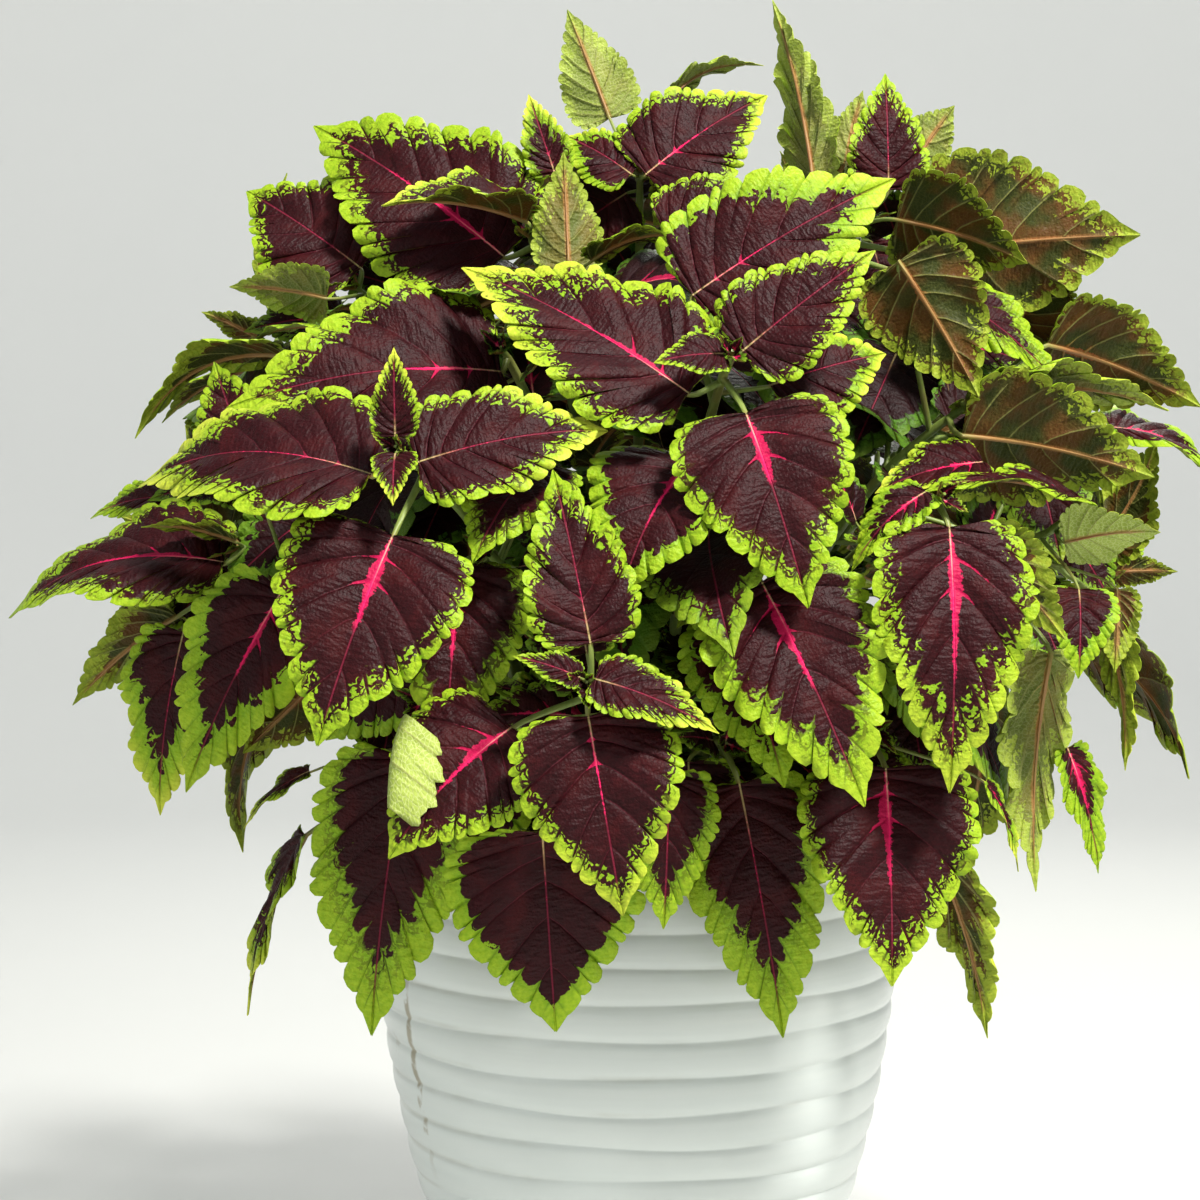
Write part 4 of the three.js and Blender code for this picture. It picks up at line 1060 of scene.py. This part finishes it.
def soil_crumb():
    g = Graph("potting_soil", {"Roughness": 0.95, "Specular IOR Level": 0.2})
    at = g.place()
    grain = g.noise(at, 160.0, 5.0, 0.7)
    base = g.mix(grain, "#1c130d", "#4a3524")
    base = g.mix(g.rise(g.noise(at, 45.0, 3.0), 0.58, 0.7) * 0.7, base, "#5f4630")
    height = grain + g.cells(at, 220.0) * 0.5
    return g.finish(Base_Color=base, Normal=g.bump(height, 0.8, 0.003))


def perlite():
    g = Graph("perlite", {"Roughness": 0.9})
    at = g.place()
    base = g.mix(g.noise(at, 300.0, 3.0), "#bdb9ad", "#e6e3da")
    return g.finish(Base_Color=base, Normal=g.bump(g.noise(at, 700.0, 3.0), 0.6, 0.001))


def studio_floor():
    g = Graph("floor", {"Roughness": 0.7})
    tone = g.noise(g.place(), 2.0, 3.0)
    return g.finish(Base_Color=g.mix(tone * 0.25, "#d0d2d0", "#dcdcda"))

# ---- The shoots ----

TOP, UNDER, STEM_SKIN = blade_top(), blade_under(), stem_skin()

# How pale some placed blades are, by stem and place in the layout.
PALE = {
    ("g", 1): 1.0, ("g", 5): 0.35, ("j", 2): 0.9, ("j", 1): 0.3, ("i", 0): 0.25, ("u", 2): 0.6,
    ("u", 3): 0.75, ("v", 0): 0.45, ("v", 1): 0.5, ("v", 3): 0.45, ("t", 3): 0.2,
}

FOLDED = {("b", 4)}  # blades with a piece folded over

# How bold the flame is and how netted the margin, for the first blades of a stem in the layout.
PATTERNS = {
    "a": ((0.1, 0.6), (0.1, 0.5), (0.25, 0.9), (0.15, 0.6), (0.9, 0.9)),
    "b": ((0.1, 0.8), (0.1, 0.9), (0.45, 0.9), (0.2, 0.9), (0.93, 0.5)),
    "c": ((0.1, 0.8), (0.1, 0.8), (0.93, 0.5), (0.5, 0.5), (0.75, 0.1), (0.35, 0.2), (0.3, 0.4)),
    "d": ((0.5, 0.9),),
    "e": ((0.8, 0.4), (0.85, 0.3)),
    "f": ((0.55, 0.4), (0.1, 0.3), (0.2, 0.3), (0.1, 0.3), (0.6, 0.1), (0.2, 0.2), (0.15, 0.8)),
    "h": ((0.8, 0.9),),
    "j": ((0.2, 0.8),),
    "k": ((0.75, 0.3), (0.4, 0.1)),
    "m": ((0.15, 0.3),),
    "n": ((0.05, 0.1), (0.1, 0.3)),
    "q": ((0.1, 0.4), (0.05, 0.2)),
    "r": ((0.87, 0.5),),
    "t": ((0.6, 0.9), (0.1, 0.9)),
    "u": ((0.45, 0.9),),
    "v": ((0.1, 0.4), (0.1, 0.4), (0.1, 0.7)),
}

# The plant's middle and half its size; deeper inside, blades get more painted shade.
CROWN = {"middle": np.array([0.0, 0.0, 700.0]), "radii": np.array([430.0, 430.0, 340.0])}
SHADE = {"from": 0.95, "over": 0.45, "chance": 0.3}

# What sets the luck of these leaves apart from that of the others.
INNER_KEY = 9
BUD_KEY = 90
SPROUT_KEY = 50

# A form is a blade's width, arch and fold.
BUDS = {
    "count": 3, "along": 0.985, "root": 0.97, "size": 15, "grow": 5, "turn": 40, "lean": 0.35,
    "open": 0.2, "form": (0.55, -0.05, 22),
}


def pattern_luck(stem, leaf):
    """A blade's luck: by chance, or such that its pattern comes out as the table says."""
    luck, rows = chance(*leaf.keys, 5), PATTERNS.get(stem.name, ())
    if not leaf.placed or leaf.keys[1] >= len(rows):
        return luck
    bold, netted = rows[leaf.keys[1]]
    choices = [(bold + 0.05 * luck + turn) / FLAME_TURNS for turn in range(int(FLAME_TURNS))]
    return min(choices, key=lambda choice: abs(fraction(choice * NET_TURNS) - netted))


def shade(leaf):
    """Painted shade: how deep inside the plant a blade's middle is, 0 at the outside, up to 1."""
    middle = (leaf.base + leaf.tip) / 2
    reach = float(np.linalg.norm((middle - CROWN["middle"]) / CROWN["radii"]))
    depth = (SHADE["from"] - reach) / SHADE["over"]
    return clamp(depth + SHADE["chance"] * chance(*leaf.keys, 6), 0, 1)


def buds(stem):
    """The folded young leaves at a stem's tip, each with its root."""
    axis = stem.tangent(1)
    for order in range(BUDS["count"]):
        turn = 360 / BUDS["count"] * order + BUDS["turn"]
        away = turned(unit(np.cross(axis, stem.outward)), axis, turn)
        direction = unit(axis + away * (BUDS["lean"] + BUDS["open"] * order))
        base = stem.curve(BUDS["along"]) + direction * 2
        tip = base + direction * (BUDS["size"] + BUDS["grow"] * order)
        keys = (stem.index, BUD_KEY + order, 0)
        bud = Leaf(base, tip, unit(axis - away), *BUDS["form"], keys)
        yield bud, stem.curve(BUDS["root"]), True


def grow(stem):
    """A stem's leaves, each with its root and whether it is small: its solid's, inner ones, buds."""
    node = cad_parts[f"shoot_{stem.name}"]
    points = np.array([tuple(vertex.co) for vertex in node.data.vertices]) / MM
    corners = kdtree.KDTree(len(points))
    for place, point in enumerate(points):
        corners.insert(point, place)
    corners.balance()
    grown = []
    for leaf in [*placed_leaves(stem, PLACED_LEAVES), *ruled_leaves(stem)]:
        bent = as_grown(leaf, corners)
        if bent is not None:
            grown.append((bent, stem.curve(root_as_grown(bent, stem, points)), False))
    for leaf in placed_leaves(stem, INNER_LEAVES):
        leaf.keys, leaf.placed = (stem.index, leaf.keys[1], INNER_KEY), False
        grown.append((leaf, stem.curve(petiole_root(leaf, stem, 0)), False))
    return grown + list(buds(stem))


def dress(stem, leaves):
    """Two pieces for a stem: its blades, and its skin with the petioles."""
    blades, skins = [], [stem_tube(stem)]
    for leaf, root, small in leaves:
        luck = pattern_luck(stem, leaf)
        # Placed blades carry their own paleness; the others carry painted shade, as a negative tint.
        tint = PALE.get((stem.name, leaf.keys[1]), 0.0) if leaf.placed else -shade(leaf)
        blades.append(blade(leaf, luck, tint, small))
        skins.append(petiole_tube(leaf, root, small))
        if leaf.placed and (stem.name, leaf.keys[1]) in FOLDED:
            blades.append(folded_flap(leaf, luck))
    node = f"shoot_{stem.name}"
    picks = [pick for b in blades for pick in b[2]]
    labels = ("leaf_place", "leaf_grid", "leaf_look")
    vectors = {label: np.concatenate([b[3][k] for b in blades]) for k, label in enumerate(labels)}
    leafy = merged([b[:2] for b in blades])
    leafy = mesh_object(f"{node}_blades", *leafy, (TOP, UNDER), picks, vectors)
    share = np.concatenate([skin[2] for skin in skins])
    stalk = {"stalk": np.stack([share, share * 0, share * 0], -1)}
    stalks = merged([skin[:2] for skin in skins])
    stalks = mesh_object(f"{node}_stem", *stalks, (STEM_SKIN,), vectors=stalk)
    for piece, slot in ((leafy, "leaf_blade"), (stalks, "stem")):
        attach(piece, "root")
        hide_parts(node)


# ---- Small leaves that sprout in the axils and fill gaps ----

AXILS = (0.9, 0.78, 0.62, 0.48, 0.34, 0.2)
UPPER_AXIL = 0.7  # below it small leaves are larger
AXIL_TRIES = 7
SPROUT = {
    "lean": 48, "more_lean": 44, "size": 44, "more_size": 34, "lower": 1.25, "off": 9,
    "more_off": 16, "face_up": 0.4, "form": (0.66, 0.06, 14),
}
COVER = 130  # millimetres: no small leaf that is seen stands so close before another blade
FAR = 900  # millimetres: a blade farther before a small leaf doesn't count as hiding it

# Places on a blade, along and out, and the lines between them that meet no other blade.
TEST_PLACES = ((0, 0), (0.5, 0), (1, 0), (0.3, 0.3), (0.3, -0.3), (0.7, 0.18), (0.7, -0.18))
TEST_LINES = ((0, 2), (3, 4), (5, 6), (0, 3), (0, 4), (3, 5), (4, 6), (2, 5), (2, 6))


def sprouts(stem, place, half):
    """Small leaves that could grow in one axil, the likeliest first."""
    along = AXILS[place]
    at, axis = stem.curve(along), stem.tangent(along)
    across = unit(np.cross(axis, stem.outward))
    for order in range(AXIL_TRIES):
        keys = (stem.index, SPROUT_KEY + place * 10 + order, half)
        luck, other, third = (chance(*keys, draw) for draw in range(3))
        radial = turned(across, axis, 90 * place + 180 * half + 360 * luck)
        angle = math.radians(SPROUT["lean"] + SPROUT["more_lean"] * other)
        direction = unit(axis * math.cos(angle) + radial * math.sin(angle))
        size = SPROUT["size"] + SPROUT["more_size"] * third
        size = size * (1 if along > UPPER_AXIL else SPROUT["lower"])
        base = at + direction * (SPROUT["off"] + SPROUT["more_off"] * other)
        facing = unit(axis + UP * SPROUT["face_up"])
        yield Leaf(base, base + direction * size, facing, *SPROUT["form"], keys)


def meets(tree, start, end, beyond=0.0):
    """Whether a line, drawn so far beyond its end, meets a blade of the tree."""
    way = end - start
    reach = float(np.linalg.norm(way))
    return tree.ray_cast(tuple(start), tuple(way / reach), reach + beyond)[0] is not None


def is_open(leaf, root, tree):
    """Whether a small leaf crosses no blade, and hides none that stands close behind it."""
    points = [leaf.at(a, x) for a, x in TEST_PLACES]
    lines = [(root, points[0])] + [(points[i], points[j]) for i, j in TEST_LINES]
    if any(meets(tree, start, end, 2) for start, end in lines):
        return False
    looks = [(p, unit(p - EYE)) for p in points[1:]]
    shown = [(p, way) for p, way in looks if not meets(tree, p, p - way * FAR)]
    return not any(meets(tree, p, p + way * COVER) for p, way in shown)


def leaf_sheet(leaf):
    """The few faces that stand for a blade where small leaves are tested against it."""
    a, x = outline(np.array([0.3, 0.55, 0.8]), leaf.wide)
    rows = [leaf.at(0, 0)] + [leaf.at(a[k], s * x[k]) for s in (1, -1) for k in range(3)]
    rows += [leaf.at(a[k], 0) for k in range(3)] + [leaf.at(1, 0)]
    faces = []
    for k in (1, 4):
        faces += [(0, k, 7), (k, k + 1, 8, 7), (k + 1, k + 2, 9, 8), (k + 2, 10, 9)]
    return rows, faces


def sprout_all(stems, grown):
    """Adds to every stem the small leaves that find room among the blades of all stems."""
    sheets = [leaf_sheet(leaf) for leaves in grown for leaf, _, _ in leaves]
    count = 0
    for stem, leaves in zip(stems, grown):
        tree = bvhtree.BVHTree.FromPolygons(*[[tuple(p) for p in part] for part in merged(sheets)])
        for place, half in itertools.product(range(len(AXILS)), (0, 1)):
            root = stem.curve(AXILS[place])
            free = (leaf for leaf in sprouts(stem, place, half) if is_open(leaf, root, tree))
            leaf = next(free, None)
            if leaf is not None:
                leaves.append((leaf, root, True))
                sheets.append(leaf_sheet(leaf))
                count += 1
    return count


stems = [Stem(index, *row) for index, row in enumerate(STEMS)]
grown = [grow(stem) for stem in stems]
print("blades", sum(len(leaves) for leaves in grown))
print("small leaves", sprout_all(stems, grown))
for stem, leaves in zip(stems, grown):
    dress(stem, leaves)

# ---- The pot ----

POT_SIDES = 144
POT_MIDDLE = 1.0  # millimetres: the radius of the small faces in the middle of the bottom
FOOT = {"flat": 60.0, "rise": 0.8}  # millimetres: a ring of the flat bottom, the bevel's start
RIB_ROWS = (0, 0.035, 0.09, 0.25, 0.5, 0.75, 0.91, 0.965)  # shares of a rib
GROOVE = {"broad": 0.36, "broad_power": 2.5, "sharp": 0.54, "sharp_power": 26, "soften": 0.45}
SOFT = {"from": 300, "over": 130}  # millimetres: above this height the grooves soften
LIP = {"rounding": 3.4, "steps": 6}  # the rim's rounding, in millimetres
INSIDE = {"rows": 20, "below_rim": 20}
SWAY = 0.35  # millimetres that the wall strays from true


def pot_radius(height):
    if height > POT["belly_height"]:
        above = (height - POT["belly_height"]) / (POT["height"] - POT["belly_height"])
        return POT["belly_radius"] - POT["rim_inset"] * above * above
    rise = (height / POT["belly_height"]) ** POT["belly_power"]
    span = POT["belly_radius"] - POT["base_radius"]
    return POT["base_radius"] + span * math.sin(math.pi / 2 * rise)


def groove_depth(row, z):
    """How deep the grooves are: most at a whole number of ribs, nought halfway between."""
    swing = abs(math.cos(math.pi * row))
    depth = GROOVE["broad"] * swing ** GROOVE["broad_power"]
    depth += GROOVE["sharp"] * swing ** GROOVE["sharp_power"]
    softened = GROOVE["soften"] * clamp((z - SOFT["from"]) / SOFT["over"], 0, 1)
    return POT["rib_depth"] * depth * (1 - softened)


def pot_profile():
    """The wall's section: up the ribbed outside, over the rim, down the plain inside."""
    top, wall, bevel, lip = POT["height"], POT["wall"], POT["foot_bevel"], LIP["rounding"]
    profile = [(POT_MIDDLE, 0.0), (FOOT["flat"], 0.0), (pot_radius(0) - 2 * bevel, 0.0)]
    profile.append((pot_radius(0) - bevel, FOOT["rise"]))
    for rib, part in itertools.product(range(int(top / POT["rib_pitch"])), RIB_ROWS):
        z = (rib + part) * POT["rib_pitch"]
        if 2 * bevel <= z <= top - lip:
            profile.append((pot_radius(z) - groove_depth(rib + part, z), z))
    outer, inner = pot_radius(top) - POT["rib_depth"], pot_radius(top) - wall
    middle, half = (outer + inner) / 2, (outer - inner) / 2
    for step in range(LIP["steps"] + 1):
        angle = math.pi * step / LIP["steps"]
        profile.append((middle + half * math.cos(angle), top - lip + lip * math.sin(angle)))
    inside = np.linspace(top - INSIDE["below_rim"], wall, INSIDE["rows"])
    return profile + [(pot_radius(z) - wall, z) for z in inside] + [(POT_MIDDLE, wall)]


def lathe(name, profile, sides, material):
    """A closed solid of revolution, turned by hand: its rings sway a little out and up."""
    angles = around(sides)
    rings = []
    for radius, z in profile:
        out = SWAY * np.sin(3 * angles + z * 0.013) * min(1.0, radius / 50)
        slope = 4 * np.sin(2 * angles + z * 0.05) + 3 * np.sin(5 * angles + 1 + z * 0.09)
        up = SWAY * slope * math.sin(math.pi * z / POT["height"])
        rings.append(ring(radius + out, z + up, angles))
    faces = ring_faces(len(profile), sides)
    return mesh_object(name, np.concatenate(rings), faces, (material,), smooth=50)


def drill(item):
    """The drain holes, cut through the pot's floor."""
    for angle in around(DRAIN["count"], 0.5):
        x, y = DRAIN["circle"] * math.cos(angle), DRAIN["circle"] * math.sin(angle)
        path = [np.array([x, y, z]) for z in (-20.0, 5.0, 30.0)]
        points, faces = tube(path, [DRAIN["radius"]] * 3, 32, np.array([1.0, 0.0, 0.0]))
        cutter = mesh_object("drain_cutter", points, faces)
        cut = item.modifiers.new("drain", "BOOLEAN")
        cut.operation, cut.object, cut.solver = "DIFFERENCE", cutter, "MANIFOLD"
        with bpy.context.temp_override(object=item, active_object=item):
            bpy.ops.object.modifier_apply(modifier=cut.name)
        bpy.data.objects.remove(cutter)


pot = lathe("pot_shell", pot_profile(), POT_SIDES, pot_glaze())
drill(pot)
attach(pot, "root")
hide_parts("pot")

# ---- The soil ----

CRUMBS = {"count": 700, "sizes": (1.5, 5.5)}
PERLITE = {"count": 150, "sizes": (1.2, 2.6)}
SOIL_RINGS = 60
SOIL_SIDES = 160
SOIL_ROUGH = 0.9
SOIL_LOWER = (440, 400, 300, 200, 100, POT["wall"] + SOIL["gap"])  # heights down the wall


def soil_edge(z):
    return pot_radius(z) - POT["wall"] - SOIL["gap"]


def soil_height(x, y):
    share = np.hypot(x, y) / (pot_radius(SOIL["edge_height"]) - POT["wall"])
    height = SOIL["crown_height"] + (SOIL["edge_height"] - SOIL["crown_height"]) * share
    waves = np.sin(x * 0.11 + 1.3) * np.sin(y * 0.13) + 0.5 * np.sin(x * 0.31 + y * 0.27)
    return height + 1.4 * waves


def icosahedron():
    """Corners and outward faces of a lump's plain form, about a unit in radius."""
    golden = (1 + 5 ** 0.5) / 2
    signs = list(itertools.product((-1, 1), (-1, 1)))
    corners = [(s, t * golden, 0) for s, t in signs] + [(0, s, t * golden) for s, t in signs]
    corners = np.array(corners + [(t * golden, 0, s) for s, t in signs]) / 1.9
    faces = []
    for face in itertools.combinations(range(12), 3):
        p, q, r = corners[list(face)]
        if max(np.linalg.norm(p - q), np.linalg.norm(q - r), np.linalg.norm(r - p)) < 1.2:
            faces.append(face if np.dot(np.cross(q - p, r - p), p) > 0 else face[::-1])
    return corners, faces


LUMP_CORNERS, LUMP_FACES = icosahedron()


def crumb(at, size, draw):
    """A rough little lump: a stretched icosahedron with every corner moved a bit."""
    shape = size * draw.uniform(0.5, 1.3, 3)
    turn = draw.uniform(0, math.pi)
    cos, sin = math.cos(turn), math.sin(turn)
    spin = np.array([[cos, sin, 0], [-sin, cos, 0], [0, 0, 1]])
    corners = LUMP_CORNERS * (1 + draw.uniform(-0.2, 0.2, (len(LUMP_CORNERS), 1)))
    return at + (corners * shape) @ spin, LUMP_FACES


def lay_soil():
    """The soil: a rough top, its sides along the wall, and loose crumbs and perlite on it."""
    draw = np.random.default_rng(SEED)
    edge = soil_edge(SOIL["edge_height"])
    angles = around(SOIL_SIDES)
    points = []
    for row in range(SOIL_RINGS):
        radius = edge * (0.004 + 0.996 * row / (SOIL_RINGS - 1))
        x, y = radius * np.cos(angles), radius * np.sin(angles)
        rough = draw.normal(0, SOIL_ROUGH, SOIL_SIDES) * (row > 0)
        points.append(np.stack([x, y, soil_height(x, y) + rough], -1))
    points += [ring(soil_edge(z), z, angles) for z in SOIL_LOWER]
    faces = ring_faces(len(points), SOIL_SIDES, flip=True)
    parts, picks = [(np.concatenate(points), faces)], [0] * len(faces)
    for pick, grains in enumerate((CRUMBS, PERLITE)):
        for _ in range(grains["count"]):
            reach, angle = (edge - 6) * math.sqrt(draw.uniform()), draw.uniform(0, 2 * math.pi)
            x, y = reach * math.cos(angle), reach * math.sin(angle)
            size = draw.uniform(*grains["sizes"])
            parts.append(crumb(np.array([x, y, soil_height(x, y) + 0.2 * size]), size, draw))
            picks += [pick] * len(LUMP_FACES)
    return mesh_object("soil_top", *merged(parts), (soil_crumb(), perlite()), picks, smooth=40)


soil = lay_soil()
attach(soil, "root")
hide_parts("soil")

# ---- The stage: a pale floor that rises all round to a backdrop, soft lights, the camera ----

FLOOR = {"flat": 3600, "bend": 2400, "height": 6500, "sides": 96, "steps": 20}
LENS = {"sensor": 36.0, "length": 75.0, "down": 2.405, "left": 0.848}  # millimetres, degrees
SKY = {"Color": (0.86, 0.92, 1.0, 1.0), "Strength": 0.24}
NOISE_THRESHOLD = 0.05

# Disk lights: place and aim in metres, width in metres, power in watts, tint.
LIGHTS = {
    "key": ((1.3, -1.9, 3.5), (0, 0, 0.7), 0.7, 235, (1.0, 0.97, 0.92)),
    "fill": ((-2.8, -2.6, 1.8), (0, 0, 0.6), 2.4, 14, (0.93, 0.97, 1.0)),
    "back": ((0.9, 2.4, 2.8), (0, 0, 0.8), 1.4, 50, (1.0, 0.98, 0.9)),
    "backdrop": ((0.0, 2.2, 5.4), (0, 6.0, 2.6), 3.0, 115, (1.0, 1.0, 1.0)),
}


def sweep():
    """A pale floor with a wide round bend up to an upright wall, the same on all sides."""
    profile = [(1.0, 0.0), (400.0, 0.0), (FLOOR["flat"], 0.0)]
    for step in range(1, FLOOR["steps"] + 1):
        angle = math.pi / 2 * step / FLOOR["steps"]
        out = FLOOR["flat"] + FLOOR["bend"] * math.sin(angle)
        profile.append((out, FLOOR["bend"] * (1 - math.cos(angle))))
    profile.append((FLOOR["flat"] + FLOOR["bend"], FLOOR["height"]))
    angles = around(FLOOR["sides"])
    rings = np.concatenate([ring(radius, z, angles) for radius, z in profile])
    faces = grid_faces(len(profile), FLOOR["sides"], closed=True, flip=True)
    faces.append(tuple(range(FLOOR["sides"])))
    return mesh_object("floor", rings, faces, (studio_floor(),))


sweep()


def area_light(name, place, aim, size, power, tint):
    lamp = bpy.data.lights.new(name, "AREA")
    lamp.shape, lamp.size, lamp.energy, lamp.color = "DISK", size, power, tint
    item = bpy.data.objects.new(name, lamp)
    bpy.context.scene.collection.objects.link(item)
    item.location = place
    item.rotation_euler = (Vector(aim) - Vector(place)).to_track_quat("-Z", "Y").to_euler()


for name, light in LIGHTS.items():
    area_light(name, *light)

world = bpy.data.worlds.new("studio")
bpy.context.scene.world = world
world.use_nodes = True
for socket, value in SKY.items():
    world.node_tree.nodes["Background"].inputs[socket].default_value = value
bpy.context.scene.view_settings.view_transform = "Standard"
bpy.context.scene.cycles.adaptive_threshold = NOISE_THRESHOLD

lens = bpy.data.cameras.new("camera")
lens.sensor_width, lens.lens = LENS["sensor"], LENS["length"]
camera = bpy.data.objects.new("camera", lens)
bpy.context.scene.collection.objects.link(camera)
camera.location = (0.0, -EYE_DISTANCE * MM, EYE_HEIGHT * MM)
camera.rotation_euler = (math.radians(90 - LENS["down"]), 0.0, math.radians(LENS["left"]))
bpy.context.scene.camera = camera
